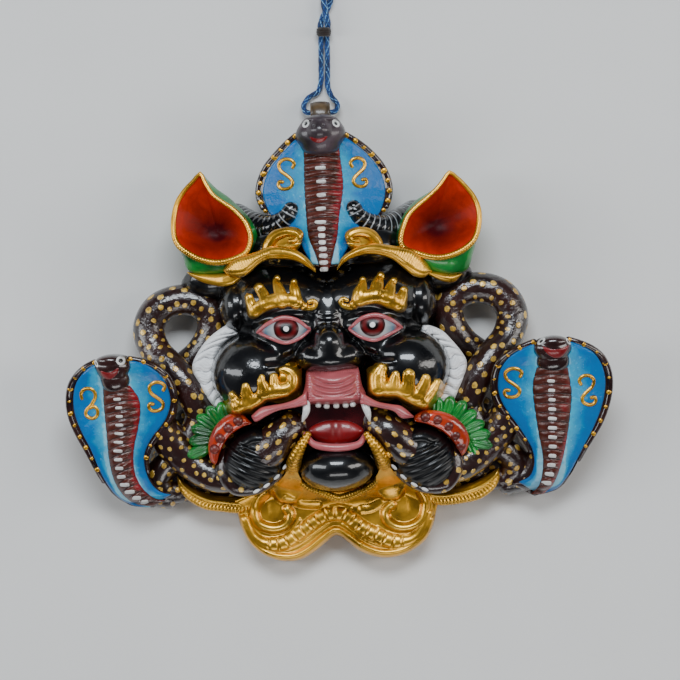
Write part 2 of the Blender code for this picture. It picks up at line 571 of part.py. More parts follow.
def cord(name, route, diameter, paint):
    """Round cord on one smooth curve through its route."""
    line = curve(route, 2)
    shape = bpy.data.curves.new(name, "CURVE")
    shape.dimensions = "3D"
    shape.bevel_depth = diameter / 2
    shape.bevel_resolution = 2
    shape.use_fill_caps = True
    spline = shape.splines.new("POLY")
    spline.points.add(len(line) - 1)
    spline.points.foreach_set("co", np.column_stack([line, np.ones(len(line))]).ravel())
    shape.materials.append(paint)
    return new_object(name, shape)


def turned(name, centre, along, profile, paint, sides=16):
    """Round piece on the cord: profile is (distance along it, radius), from its centre."""
    along = np.asarray(along, float) / np.linalg.norm(along)
    side = np.cross(along, (0, 0, 1))
    a = np.linspace(0, 2 * math.pi, sides, endpoint=False)
    ring = np.cos(a)[:, None] * side + np.sin(a)[:, None] * np.array([0, 0, 1.0])
    made = joined(name, [skin(np.array([centre + d * along + r * ring for d, r in profile]))])
    made.data.shade_smooth()
    made.data.materials.append(paint)
    return made


def cords():
    """Loop through the eye, its binding, the doubled cord above it and the knot at the top."""
    blue = material("blue braid", (0.02, 0.15, 0.48), 0.7, 0.0)
    brown = material("brown binding", (0.05, 0.025, 0.015), 0.7, 0.0)
    cord("cord_loop", LOOP_ROUTE, CORD_DIAMETER, blue)
    half, r = BINDING_LENGTH / 2, BINDING_DIAMETER / 2
    turned("cord_binding", BINDING_CENTRE, UPWARDS,
           [(-half, 0.6 * r), (-0.8 * half, 0.9 * r), (0, r), (0.8 * half, 0.9 * r), (half, 0.6 * r)], brown)
    cord("cord_upper", UPPER_ROUTE, DOUBLE_DIAMETER, blue)
    r = KNOT_DIAMETER / 2
    knot = np.array(UPPER_ROUTE[-1]) + np.array(UPWARDS) * (0.9 * r + GAP)
    knot[2] = r
    turned("cord_knot", knot, UPWARDS,
           [(-0.9 * r, 0.44 * r), (-0.65 * r, 0.76 * r), (-0.3 * r, 0.96 * r), (0, r), (0.3 * r, 0.96 * r),
            (0.65 * r, 0.76 * r), (0.9 * r, 0.44 * r)], blue)


def main():
    for old in list(bpy.data.objects):
        bpy.data.objects.remove(old, do_unlink=True)
    casting()
    cords()


if __name__ == "__main__":
    main()
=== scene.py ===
"""Cast and painted wall mask of a horned beast, crowned and flanked by cobras, with its hanging cord.

Shapes are worked out in millimetres on the drawing that the casting was laid out on, and go into the
frame in metres. Each is a function on a grid: a height over a flat outline, or a profile along a path.
"""

import math

import bmesh
import bpy
import numpy as np
from bpy.props import FloatProperty, FloatVectorProperty, PointerProperty
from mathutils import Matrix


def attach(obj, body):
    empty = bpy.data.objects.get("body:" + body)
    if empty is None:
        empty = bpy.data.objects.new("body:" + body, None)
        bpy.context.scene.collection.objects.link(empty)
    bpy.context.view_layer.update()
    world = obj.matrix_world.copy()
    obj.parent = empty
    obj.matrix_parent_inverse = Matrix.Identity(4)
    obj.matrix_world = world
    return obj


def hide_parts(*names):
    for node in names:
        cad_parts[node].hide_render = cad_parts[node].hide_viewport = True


bl_info = {
    "name": "Painted Wall Mask",
    "version": (1, 0, 0),
    "blender": (4, 5, 0),
    "location": "3D View > Sidebar > Mask",
    "description": "Builds a cast and painted wall mask over its packed frame",
    "category": "Add Mesh",
}

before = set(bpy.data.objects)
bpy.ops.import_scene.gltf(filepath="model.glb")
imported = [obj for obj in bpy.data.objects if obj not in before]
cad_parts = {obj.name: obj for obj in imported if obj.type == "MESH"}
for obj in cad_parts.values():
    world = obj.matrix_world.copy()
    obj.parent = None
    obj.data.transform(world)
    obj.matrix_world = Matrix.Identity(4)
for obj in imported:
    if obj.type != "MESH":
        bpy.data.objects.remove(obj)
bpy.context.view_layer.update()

MM = 0.001
UP = np.array([0, 0, 1.0])
ORIGIN = np.array([3.0, 3.0, 0.0])   # the point of the drawing that lies over the frame's origin


# Sizes and colours

def length(name, description, default):
    """Length property in metres."""
    return FloatProperty(name=name, description=description, default=default, min=0.0, unit="LENGTH")


def colour(name, description, default):
    """Linear colour property."""
    return FloatVectorProperty(name=name, description=description, default=default, size=3,
                               min=0.0, max=1.0, subtype="COLOR")


class MaskSizes(bpy.types.PropertyGroup):
    """Sizes of the carving, the painting and the cord."""
    wall: length("Wall", "Metal between the face and the hollow behind it", 0.0045)
    cord: length("Cord", "Thickness of one strand of the braid", 0.0028)
    doubled: length("Doubled cord", "Thickness of the doubled braid", 0.0068)
    binding: length("Binding", "Thickness of the binding on the cord", 0.0078)
    knot: length("Knot", "Thickness of the stopper knot", 0.0105)
    dot: length("Dot", "Width of a painted dot on the snakes", 0.0028)
    dot_pitch: length("Dot pitch", "Distance between the painted dots", 0.0064)
    rib: length("Belly rib", "Pitch of the plates on a cobra's belly", 0.0034)
    horn_rib: length("Horn rib", "Pitch of the rings on a horn", 0.0030)
    gold_rib: length("Gold rib", "Pitch of the fine ribs on the gold", 0.0014)
    tusk_rib: length("Tusk rib", "Pitch of the ribs on the tusks", 0.0021)
    stroke: length("Stroke", "Width of the gold curls on the hoods", 0.0019)


class MaskColours(bpy.types.PropertyGroup):
    """Colours of the enamels and of the braid."""
    black: colour("Black", "Enamel of the face, hands and horns", (0.0018, 0.0019, 0.0024))
    gold: colour("Gold", "Gold paint", (0.87, 0.445, 0.033))
    brown: colour("Brown", "Enamel of the snakes", (0.0200, 0.0052, 0.0040))
    blue: colour("Blue", "Hoods near their rims", (0.0006, 0.135, 0.400))
    pale_blue: colour("Pale blue", "Hoods beside the belly", (0.018, 0.380, 0.600))
    belly: colour("Belly", "Bellies of the cobras", (0.070, 0.0120, 0.0060))
    crimson: colour("Crimson", "Brighter side of a belly", (0.240, 0.0040, 0.0100))
    white: colour("White", "Eyes, dashes and nails", (0.74, 0.73, 0.70))
    ruff: colour("Ruff", "Unvarnished white of the ruff", (0.92, 0.92, 0.92))
    ear: colour("Ear", "Ears inside", (0.520, 0.0290, 0.0090))
    ear_deep: colour("Ear depth", "Bottom of the ears inside", (0.050, 0.0020, 0.0035))
    green: colour("Green", "Backs of the ears and the frills", (0.0035, 0.205, 0.0230))
    orange: colour("Orange", "Cuffs", (0.500, 0.0320, 0.0030))
    pink: colour("Pink", "Lips and eyelids", (0.440, 0.0950, 0.1060))
    mouth: colour("Mouth", "Inside of the mouth", (0.070, 0.0015, 0.0030))
    tongue: colour("Tongue", "Tongue", (0.210, 0.0030, 0.0045))
    iris: colour("Iris", "Irises", (0.110, 0.0030, 0.0040))
    braid: colour("Braid", "Cord", (0.0050, 0.0620, 0.260))
    floor: colour("Floor", "Floor under the mask", (0.72, 0.71, 0.69))


# Curves in the drawing

def spline(points, per_span=10, closed=False):
    """Catmull-Rom curve: each span is the cubic through its ends with the slopes of the chords round it."""
    p = np.asarray(points, float)
    if closed:
        p = np.vstack([p[-1:], p, p[:2]])
    else:
        p = np.vstack([2 * p[0] - p[1], p, 2 * p[-1] - p[-2]])
    t = (np.arange(per_span) / per_span)[:, None]
    spans = [0.5 * (2 * b + (c - a) * t + (2 * a - 5 * b + 4 * c - d) * t ** 2
                    + (3 * b - a - 3 * c + d) * t ** 3)
             for a, b, c, d in zip(p[:-3], p[1:-2], p[2:-1], p[3:])]
    return np.vstack(spans + [p[-2:-1]])


def travel(line):
    """Distance from the start of a line to each of its points."""
    return np.concatenate([[0.0], np.cumsum(np.linalg.norm(np.diff(line, axis=0), axis=1))])


def axes_along(line):
    """Unit vectors along a line, level to its side and up from both, at each of its points."""
    along = np.gradient(line, axis=0)
    along /= np.linalg.norm(along, axis=1)[:, None]
    side = np.cross(along, UP)
    side /= np.linalg.norm(side, axis=1)[:, None]
    return along, side, np.cross(side, along)


def part_way(values, share):
    """Value at a share of the way along a form whose values are evenly spaced."""
    return np.interp(share, np.linspace(0, 1, len(values)), values)


def turned(x, y, degrees):
    """x and y, turned anticlockwise."""
    c, s = math.cos(math.radians(degrees)), math.sin(math.radians(degrees))
    return c * x - s * y, s * x + c * y


def squared(wave, power):
    """Wave with squarer shoulders, sign(w) |w|^power."""
    return np.sign(wave) * np.abs(wave) ** power


def between(a, b, v):
    """Points from line a, where v is 0, straight across to line b, where it is 1."""
    return a[:, None] * (1 - v[..., None]) + b[:, None] * v[..., None]


def stay(points):
    """The same points, as an array."""
    return np.asarray(points, float)


def even(points, count, closed=False):
    """count points on the smooth curve, an equal distance apart; a closed one repeats its first point."""
    fine = spline(points, closed=closed)
    along = travel(fine)
    at = np.linspace(0, along[-1], count)
    return np.column_stack([np.interp(at, along, fine[:, k]) for k in range(fine.shape[1])])


def flipped(points, axis=0.0, drop=0.0):
    """The same points mirrored about x = axis, and moved down by drop."""
    other = np.asarray(points, float).copy()
    other[..., 0] = 2 * axis - other[..., 0]
    other[..., 1] -= drop
    return other


def nearest(x, y, path):
    """Distance from every (x, y) to a polyline, and how far along it, in mm, the nearest point lies."""
    a = np.asarray(path, float)[:, :2]
    step = np.diff(a, axis=0)
    long = np.hypot(step[:, 0], step[:, 1])
    start = np.concatenate([[0.0], np.cumsum(long)])
    away = np.full(np.shape(x), 1e9)
    along = np.zeros(np.shape(x))
    for (ax, ay), (sx, sy), size, begin in zip(a, step, long, start):
        if size == 0:
            continue
        share = np.clip(((x - ax) * sx + (y - ay) * sy) / size ** 2, 0, 1)
        far = np.hypot(x - ax - share * sx, y - ay - share * sy)
        closer = far < away
        away = np.where(closer, far, away)
        along = np.where(closer, begin + share * size, along)
    return away, along


# Heights over the drawing, in mm above the wall

FLANK = 5.0     # slope of a form outside its own outline, so that forms can be melted together
CUT_POWER = 14  # makes the cuts across a ridge narrow


def dome(x, y, centre, radii):
    """Top half of an ellipsoid, z = cz + rz sqrt(1 - q), which falls as a steep cone outside q = 1."""
    q = ((x - centre[0]) / radii[0]) ** 2 + ((y - centre[1]) / radii[1]) ** 2
    rise = radii[2] * np.sqrt(np.maximum(0, 1 - q))
    fall = FLANK * min(radii[:2]) * (np.sqrt(q) - 1)
    return centre[2] + np.where(q < 1, rise, -fall)


def bar(x, y, path, radii, flat):
    """Half-round bar along a path: z = path z + flat sqrt(r^2 - d^2), d being the distance from the path."""
    line = even(path, 40)
    away, along = nearest(x, y, line)
    size = travel(line[:, :2])
    z = np.interp(along, size, line[:, 2])
    r = part_way(radii, along / size[-1])
    return z + np.where(away < r, flat * np.sqrt(np.maximum(0, r ** 2 - away ** 2)), -FLANK * (away - r))


def ridge(x, y, path, width, height, soft=0.5, pitch=0.0, cut=0.0):
    """Ridge of height (1 - (d / width)^2)^soft, cut across at every pitch by cut |cos(pi s / pitch)|^14 of
    its height, s being the distance along the path."""
    away, along = nearest(x, y, even(path, 60))
    profile = np.maximum(0, 1 - (away / width) ** 2) ** soft
    if pitch:
        profile = profile * (1 - cut * np.abs(np.cos(np.pi * along / pitch)) ** CUT_POWER)
    return height * profile


def groove(x, y, path, width, depth):
    """Soft groove along a path, -depth exp(-(d / width)^2)."""
    away, _ = nearest(x, y, even(path, 40))
    return -depth * np.exp(-(away / width) ** 2)


def melt(heights, sharp=0.9):
    """Smooth maximum of several heights: the log of the sum of exp(sharp z), over sharp."""
    return np.logaddexp.reduce(np.array(heights) * sharp, axis=0) / sharp


def swell(inward, width):
    """Quarter-round edge: 0 on the outline and 1 from width inwards."""
    return np.sqrt(np.maximum(0, 1 - (1 - np.clip(inward / width, 0, 1)) ** 2))


def step_up(value, low, high):
    """Smooth step from 0 at low to 1 at high."""
    t = np.clip((value - low) / (high - low), 0, 1)
    return t * t * (3 - 2 * t)


# Closed skins

END_RINGS = [82, 65, 48, 32, 16]   # degrees round the end of a tube

def skin(rings, uv=None, crease=None):
    """Closed skin over a stack of rings, shape (rows, columns, 3), with a fan at each end.
    The map uv has one more column than the rings, for the seam, and is in mm."""
    rows, columns = rings.shape[:2]
    if uv is None:
        uv = np.concatenate([rings, rings[:, :1]], axis=1)[..., :2]
    if crease is None:
        crease = np.zeros((rows, columns))
    i, j = (part.ravel() for part in np.meshgrid(np.arange(rows - 1), np.arange(columns), indexing="ij"))
    k = (j + 1) % columns
    quads = np.column_stack([i * columns + j, i * columns + k, (i + 1) * columns + k, (i + 1) * columns + j])
    quad_uv = np.stack([uv[i, j], uv[i, j + 1], uv[i + 1, j + 1], uv[i + 1, j]], axis=1)
    j = np.arange(columns)
    k = (j + 1) % columns
    last = (rows - 1) * columns
    fans = np.vstack([np.column_stack([np.full(columns, rows * columns), k, j]),
                      np.column_stack([np.full(columns, rows * columns + 1), last + j, last + k])])
    middle = [np.broadcast_to(uv[row].mean(axis=0), (columns, 2)) for row in (0, -1)]
    fan_uv = np.vstack([np.stack([middle[0], uv[0, j + 1], uv[0, j]], axis=1),
                        np.stack([middle[1], uv[-1, j], uv[-1, j + 1]], axis=1)])
    points = np.vstack([rings.reshape(-1, 3), rings[0].mean(axis=0), rings[-1].mean(axis=0)])
    marks = np.concatenate([crease.ravel(), [crease[0].mean(), crease[-1].mean()]])
    return {"points": points, "quads": quads, "fans": fans, "quad_uv": quad_uv, "fan_uv": fan_uv,
            "crease": marks}


def remap(made, change):
    """The same skin with its map changed; change(x, y) gives the new map."""
    for key in ("quad_uv", "fan_uv"):
        made[key] = np.stack(change(made[key][..., 0], made[key][..., 1]), axis=-1)
    return made


def quarters(count):
    """The last, middle and first of count rows, and those halfway between, backwards."""
    return [count - 1, (3 * count) // 4, count // 2, count // 4, 0]



def hollowness(z, rounds=3):
    """How far each point of a grid lies below the mean of its neighbours, in mm."""
    mean = z
    for _ in range(rounds):
        wide = np.pad(mean, 1, mode="edge")
        mean = (wide[:-2, 1:-1] + wide[2:, 1:-1] + wide[1:-1, :-2] + wide[1:-1, 2:]) / 4
    return mean - z


def strip(flat, top, under):
    """Closed body over a grid (rows, columns, 2): its front at top, its back at under, row by row."""
    back = quarters(flat.shape[1])
    crease = np.concatenate([hollowness(top), np.zeros((len(top), len(back)))], axis=1)
    front = np.dstack([flat, top])
    rear = np.dstack([flat[:, back], np.broadcast_to(under, top.shape)[:, back]])
    return skin(np.concatenate([front, rear], axis=1), crease=crease)


def leaf(first, second, height, thick, grid):
    """Carved body between two edge curves, on a grid of (rows, columns). height(x, y, inward, u, v) gives
    its front: inward is the distance from the outline, u runs along the leaf and v from the first edge to
    the second."""
    rows, columns = grid
    a, b = even(first, rows), even(second, rows)
    v = np.broadcast_to(0.5 - 0.5 * np.cos(np.linspace(0, np.pi, columns)), grid)
    u = np.broadcast_to(np.linspace(0, 1, rows)[:, None], grid)
    flat = between(a, b, v)
    x, y = flat[..., 0], flat[..., 1]
    inward, _ = nearest(x, y, np.vstack([a, b[::-1], a[:1]]))
    top = height(x, y, inward, u, v)
    under = height(x, y, 0 * inward, u, v) - thick
    return strip(flat, top, under)


def leaves(outlines, *rest):
    """A leaf for each pair of edges."""
    return [leaf(*edges, *rest) for edges in outlines]


def disc(outline, centre, height, thick, grid):
    """Carved body over a star-shaped outline, on a grid of (rings, points round). height(x, y, inward,
    share) gives its front; share runs from 0 at the centre to 1 on the outline. The map is the drawing
    itself in mm, and runs on down the side."""
    rows, columns = grid
    edge = even(outline, columns + 1, closed=True)
    share = np.sin(np.linspace(0.02, 1, rows) * np.pi / 2)[:, None] * np.ones(columns)
    flat = stay(centre) + share[..., None] * (edge[None, :-1] - centre)
    x, y = flat[..., 0], flat[..., 1]
    inward, _ = nearest(x, y, edge)
    top = height(x, y, inward, share)
    rear = quarters(rows)
    under = (height(x, y, 0 * inward, share) - thick)[rear]
    crease = np.vstack([hollowness(top), np.zeros((len(rear), columns))])
    rings = np.concatenate([np.dstack([flat, top]), np.dstack([flat[rear], under])])
    rim = flat[-1] - centre
    outwards = rim / np.linalg.norm(rim, axis=1)[:, None]
    beyond = top[-1] - under + np.linalg.norm(flat[-1] - flat[rear], axis=2)
    uv = np.concatenate([flat, flat[-1] + beyond[..., None] * outwards])
    return skin(rings, np.concatenate([uv, uv[:, :1]], axis=1), crease)


def ellipse(centre, radii, turn=0.0, count=24, square=1.0):
    """Points round an ellipse; a square below 1 makes it boxier."""
    a = np.linspace(0, 2 * np.pi, count, endpoint=False)
    x, y = turned(radii[0] * squared(np.cos(a), square), radii[1] * squared(np.sin(a), square), turn)
    return np.column_stack([centre[0] + x, centre[1] + y])


def rings_round(line, size, angle, side, up):
    """Rings round a line: size (cos a side + sin a up)."""
    return line[:, None] + size[..., None] * (np.cos(angle)[..., None] * side[:, None]
                                              + np.sin(angle)[..., None] * up[:, None])


def tube(path, radii, step, sides, flat=1.0, carve=None):
    """Round-ended tube along a smooth path. carve(s, a) is added to the radius, with s the distance
    along in mm and a the angle round it. The map holds both as mm on the skin."""
    line = even(path, max(8, int(travel(spline(path))[-1] / step)))
    r = part_way(radii, np.linspace(0, 1, len(line)))
    axes = axes_along(line)
    ends = np.radians(END_RINGS)
    line = np.vstack([line[0] - np.outer(r[0] * np.sin(ends), axes[0][0]), line,
                      line[-1] + np.outer(r[-1] * np.sin(ends[::-1]), axes[0][-1])])
    r = np.concatenate([r[0] * np.cos(ends), r, r[-1] * np.cos(ends[::-1])])
    _, side, up = (np.pad(axis, ((len(ends), len(ends)), (0, 0)), mode="edge") for axis in axes)
    s = travel(line)
    a = np.linspace(-np.pi / 2, 1.5 * np.pi, sides, endpoint=False)
    size = np.broadcast_to(r[:, None], (len(line), sides)).copy()
    crease = np.zeros_like(size)
    if carve is not None:
        depth = np.broadcast_to(carve(s[:, None], a[None, :]), size.shape)
        size += depth * np.minimum(1, 3 * r / np.max(r))[:, None]
        crease = -depth
    round_it = np.linspace(-np.pi, np.pi, sides + 1)[None, :] * np.maximum(r, 0.6 * np.mean(radii))[:, None]
    uv = np.stack(np.broadcast_arrays(s[:, None], round_it), axis=2)
    return skin(rings_round(line, size, a, side, flat * up), uv, crease)


def blob(centre, radii, turn=0.0, grid=(20, 28), square=1.0):
    """Ellipsoid turned about z; a square below 1 makes its outline boxier."""
    a = np.linspace(0.03, np.pi - 0.03, grid[0])[:, None]
    b = np.linspace(0, 2 * np.pi, grid[1], endpoint=False)[None, :]
    x, y = turned(radii[0] * np.sin(a) * squared(np.cos(b), square),
                  radii[1] * np.sin(a) * squared(np.sin(b), square), turn)
    z = -radii[2] * np.cos(a) * np.ones_like(b)
    return skin(np.stack([x, y, z], axis=2) + stay(centre))


def ribs(pitch, depth, slant=0.0):
    """Carving of rings along a tube: -depth |cos(pi (s + slant cos a) / pitch)|^4."""
    return lambda s, a: -depth * np.abs(np.cos(np.pi * (s + slant * np.cos(a)) / pitch)) ** 4


# Pieces

def piece(name, shapes, paint, nodes=("mask",), metres=False, floor=0.0):
    """One object out of closed skins, all facing outwards, riding on the mask."""
    points = np.vstack([shape["points"] for shape in shapes])
    points = points if metres else (points - ORIGIN) * MM
    points[:, 2] = np.maximum(points[:, 2], floor * MM)
    starts = np.concatenate([[0], np.cumsum([len(shape["points"]) for shape in shapes])])
    quads = np.vstack([shape["quads"] + start for shape, start in zip(shapes, starts)])
    fans = np.vstack([shape["fans"] + start for shape, start in zip(shapes, starts)])
    corners = np.concatenate([quads.ravel(), fans.ravel()])
    mesh = bpy.data.meshes.new(name)
    mesh.vertices.add(len(points))
    mesh.vertices.foreach_set("co", points.ravel())
    mesh.loops.add(len(corners))
    mesh.loops.foreach_set("vertex_index", corners)
    mesh.polygons.add(len(quads) + len(fans))
    firsts = np.concatenate([np.arange(len(quads)) * 4, quads.size + np.arange(len(fans)) * 3])
    mesh.polygons.foreach_set("loop_start", firsts)
    mesh.update(calc_edges=True)
    layer = mesh.uv_layers.new(name="skin")
    maps = np.vstack([shape["quad_uv"].reshape(-1, 2) for shape in shapes]
                     + [shape["fan_uv"].reshape(-1, 2) for shape in shapes])
    layer.uv.foreach_set("vector", maps.astype(np.float32).ravel())
    crease = mesh.attributes.new("crease", "FLOAT", "POINT")
    crease.data.foreach_set("value", np.concatenate([shape["crease"] for shape in shapes]).astype(np.float32))
    mesh.validate()
    work = bmesh.new()
    work.from_mesh(mesh)
    bmesh.ops.recalc_face_normals(work, faces=work.faces)
    work.to_mesh(mesh)
    work.free()
    mesh.shade_smooth()
    mesh.materials.append(paint)
    made = bpy.data.objects.new(name, mesh)
    bpy.context.scene.collection.objects.link(made)
    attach(made, "root")
    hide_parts(*nodes)
    return made


# Finishes

class Finish:
    """A Principled material and the nodes that vary it."""

    def __init__(self, name, colour, **sockets):
        self.made = bpy.data.materials.new(name)
        self.made.use_nodes = True
        self.tree = self.made.node_tree
        self.shader = self.tree.nodes["Principled BSDF"]
        self.shader.inputs["Base Color"].default_value = (*colour, 1)
        for socket, value in sockets.items():
            self.shader.inputs[socket.replace("_", " ")].default_value = value
        self.object = self.add("ShaderNodeTexCoord").outputs["Object"]
        self.skin = self.add("ShaderNodeUVMap", settings={"uv_map": "skin"}).outputs["UV"]

    def add(self, kind, inputs=(), settings=()):
        """New node; inputs are values or the outputs of other nodes."""
        made = self.tree.nodes.new(kind)
        for key, value in dict(settings).items():
            setattr(made, key, value)
        for key, value in dict(inputs).items():
            if isinstance(value, bpy.types.NodeSocket):
                self.tree.links.new(value, made.inputs[key])
            else:
                made.inputs[key].default_value = value
        return made

    def noise(self, scale, detail=3.0, rough=0.55, where=None, warp=0.0):
        """Noise from 0 to 1, scale in features per metre, or per unit of where."""
        return self.add("ShaderNodeTexNoise", {"Vector": where or self.object, "Scale": scale,
                                               "Detail": detail, "Roughness": rough,
                                               "Distortion": warp}).outputs["Fac"]

    def math(self, kind, a, b=0.0, clamp=False):
        """Math on two numbers."""
        return self.add("ShaderNodeMath", {0: a, 1: b}, {"operation": kind, "use_clamp": clamp}).outputs[0]

    def span(self, value, low, high, out_low=0.0, out_high=1.0):
        """Value from low..high to out_low..out_high, clamped."""
        return self.add("ShaderNodeMapRange", {"Value": value, "From Min": low, "From Max": high,
                                               "To Min": out_low, "To Max": out_high}).outputs[0]

    def mix(self, share, a, b, kind="MIX"):
        """Mix of two colours."""
        made = self.add("ShaderNodeMix", settings={"data_type": "RGBA", "blend_type": kind})
        for socket, value in zip((made.inputs[0], made.inputs[6], made.inputs[7]), (share, a, b)):
            if isinstance(value, bpy.types.NodeSocket):
                self.tree.links.new(value, socket)
            else:
                socket.default_value = value if isinstance(value, float) else (*value, 1)
        return made.outputs[2]

    def crease(self):
        """The carved depth that the mesh carries, in mm, which the finishes turn into painted shade and
        painted highlights.
        """
        return self.add("ShaderNodeAttribute", settings={"attribute_name": "crease"}).outputs["Fac"]

    def set(self, socket, value):
        """Links a node's output to the shader."""
        self.tree.links.new(value, self.shader.inputs[socket])

    def rough(self, value, low, high):
        """Roughness from low to high over the middle of a value's range."""
        self.set("Roughness", self.span(value, 0.3, 0.7, low, high))

    def bump(self, layers):
        """Bumps from (height, depth in metres) pairs, one on another."""
        normal = None
        for height, depth in layers:
            inputs = {"Height": height, "Distance": depth, "Strength": 1.0}
            if normal is not None:
                inputs["Normal"] = normal
            normal = self.add("ShaderNodeBump", inputs).outputs["Normal"]
        self.set("Normal", normal)
        self.set("Coat Normal", normal)


def shade(tone, share):
    """A darker or lighter colour."""
    return tuple(min(1.0, channel * share) for channel in tone)


def enamel(name, tone, light=1.35, dark=0.55, rough=0.32, coat=1.0, brushed=1.0):
    """Brushed enamel under varnish: blotches of a lighter and a darker tone, painted shade in the creases,
    soft ripples.
    """
    paint = Finish(name, tone, Coat_Weight=coat, Coat_Roughness=0.06)
    blotch = paint.noise(70.0, 4.0)
    tones = paint.mix(paint.span(blotch, 0.35, 0.7), shade(tone, dark), shade(tone, light))
    streak = paint.span(paint.noise(420.0, 3.0, 0.6), 0.45, 0.75, 0.0, 0.35)
    tones = paint.mix(streak, tones, shade(tone, dark))
    # painted shade: the mesh's creases darkened to a quarter of the tone
    tones = paint.mix(paint.span(paint.crease(), 0.05, 0.5, 0.0, 0.75), tones, shade(tone, 0.25))
    paint.set("Base Color", tones)
    paint.rough(blotch, rough * 0.8, rough * 1.25)
    paint.bump([(paint.noise(110.0, 2.0), 0.00035 * brushed),
                (paint.noise(500.0, 3.0, 0.6), 0.00007 * brushed)])
    return paint.made


def black_enamel(tone, name="black enamel", coat=1.0):
    """Thick black lacquer: mirror-like, with the ripples of the brush."""
    paint = Finish(name, tone, Coat_Weight=coat, Coat_Roughness=0.05, Specular_IOR_Level=0.3)
    dust = paint.span(paint.noise(160.0, 5.0, 0.65), 0.55, 0.8, 0.0, 0.25)
    paint.set("Base Color", paint.mix(dust, tone, (0.010, 0.011, 0.013)))
    paint.rough(paint.noise(90.0), 0.25, 0.40)
    worn = paint.span(paint.noise(38.0, 2.0), 0.42, 0.62)
    fleck = paint.math("MULTIPLY", paint.noise(420.0, 2.5, 0.6), worn)
    paint.bump([(paint.noise(70.0, 2.0, 0.5, warp=0.4), 0.00040), (fleck, 0.00020)])
    return paint.made


def gold_paint(tone, name="gold paint"):
    """Satin gold paint: painted shade, a dark brown, in the creases, a painted highlight, pale gold, on the
    ridges, brush ripples.
    """
    paint = Finish(name, tone, Metallic=0.86, Coat_Weight=0.35, Coat_Roughness=0.16)
    blotch = paint.noise(80.0, 4.0)
    tones = paint.mix(paint.span(blotch, 0.3, 0.72), shade(tone, 0.50), shade(tone, 1.10))
    worn = paint.span(paint.noise(320.0, 3.0, 0.6), 0.55, 0.78, 0.0, 0.45)
    tones = paint.mix(worn, tones, (0.42, 0.185, 0.018))
    # painted shade: dark brown in the creases
    tones = paint.mix(paint.span(paint.crease(), 0.04, 0.45, 0.0, 0.62), tones, (0.16, 0.064, 0.006))
    # painted highlight: pale gold on the ridges, where the crease is negative
    tones = paint.mix(paint.span(paint.crease(), -0.02, -0.30, 0.0, 0.8), tones, (1.0, 0.62, 0.09))
    paint.set("Base Color", tones)
    paint.rough(blotch, 0.24, 0.40)
    paint.bump([(paint.noise(150.0, 3.0), 0.00026), (paint.noise(620.0, 3.0, 0.6), 0.00006)])
    return paint.made


def snake_enamel(tone, gold, dot, pitch):
    """Dark brown lacquer with gold dots, put on by hand in staggered rows over the skin's own map."""
    paint = Finish("snake enamel", tone, Coat_Weight=1.0, Coat_Roughness=0.07)
    turned = paint.add("ShaderNodeMapping", {"Vector": paint.skin, "Rotation": (0, 0, math.radians(38))})
    wobble = paint.add("ShaderNodeTexNoise", {"Vector": turned.outputs[0], "Scale": 0.8, "Detail": 2.0})
    shifted = paint.add("ShaderNodeVectorMath", {0: turned.outputs[0], 1: wobble.outputs["Color"]})
    cells = paint.add("ShaderNodeTexVoronoi", {"Vector": shifted.outputs[0], "Scale": 1.0 / pitch,
                                               "Randomness": 0.45}, {"voronoi_dimensions": "2D"})
    share = 0.5 * dot / pitch
    dots = paint.span(cells.outputs["Distance"], share * 0.88, share * 1.10, 1.0, 0.0)
    body = paint.mix(paint.span(paint.noise(60.0, 4.0), 0.35, 0.7), shade(tone, 0.45), shade(tone, 1.7))
    daub = paint.mix(paint.span(paint.noise(430.0, 3.0), 0.35, 0.65), shade(gold, 0.42), (0.88, 0.56, 0.10))
    paint.set("Base Color", paint.mix(dots, body, daub))
    paint.set("Metallic", paint.math("MULTIPLY", dots, 0.35))
    paint.set("Roughness", paint.span(dots, 0.0, 1.0, 0.28, 0.40))
    worn = paint.span(paint.noise(32.0, 2.0), 0.36, 0.58, 0.15, 1.0)
    fleck = paint.math("MULTIPLY", paint.noise(480.0, 3.0, 0.62), worn)
    paint.bump([(paint.noise(90.0, 2.5, 0.5, warp=0.5), 0.0005), (dots, 0.00028), (fleck, 0.00042)])
    return paint.made


def hood_enamel(deep, pale):
    """Blue enamel that pales towards the belly, with flecks of painted reflection, most beside it; the map's
    u is 0 beside the belly and 1 at the rim.
    """
    paint = Finish("hood enamel", deep, Coat_Weight=0.45, Coat_Roughness=0.28, Specular_IOR_Level=0.2)
    across = paint.add("ShaderNodeSeparateXYZ", {"Vector": paint.skin}).outputs["X"]
    brush = paint.noise(110.0, 5.0, 0.62, warp=0.4)
    share = paint.math("ADD", across, paint.span(brush, 0.2, 0.8, -0.34, 0.34))
    tones = paint.mix(paint.span(share, 0.06, 0.62), pale, deep)
    edge = paint.span(paint.math("ADD", across, paint.span(paint.noise(300.0, 3.0), 0.2, 0.8, -0.1, 0.1)),
                      0.0, 0.10, 0.8, 0.0)
    tones = paint.mix(edge, tones, (0.30, 0.62, 0.74))
    # painted reflection: pale flecks of glinting varnish, strongest beside the belly
    light = paint.span(paint.noise(560.0, 3.0, 0.65), 0.60, 0.72, 0.0, 0.55)
    tones = paint.mix(paint.math("MULTIPLY", light, paint.span(across, 0.0, 0.8, 1.0, 0.12)), tones,
                      (0.20, 0.66, 0.85))
    tones = paint.mix(paint.span(paint.noise(48.0), 0.48, 0.75, 0.0, 0.55), tones, shade(deep, 0.62))
    paint.set("Base Color", tones)
    paint.rough(brush, 0.28, 0.42)
    worn = paint.span(paint.noise(40.0, 2.0), 0.42, 0.60, 0.2, 1.0)
    fleck = paint.math("MULTIPLY", paint.noise(500.0, 3.0, 0.62), worn)
    paint.bump([(paint.noise(110.0, 3.0), 0.00045), (fleck, 0.00040)])
    return paint.made


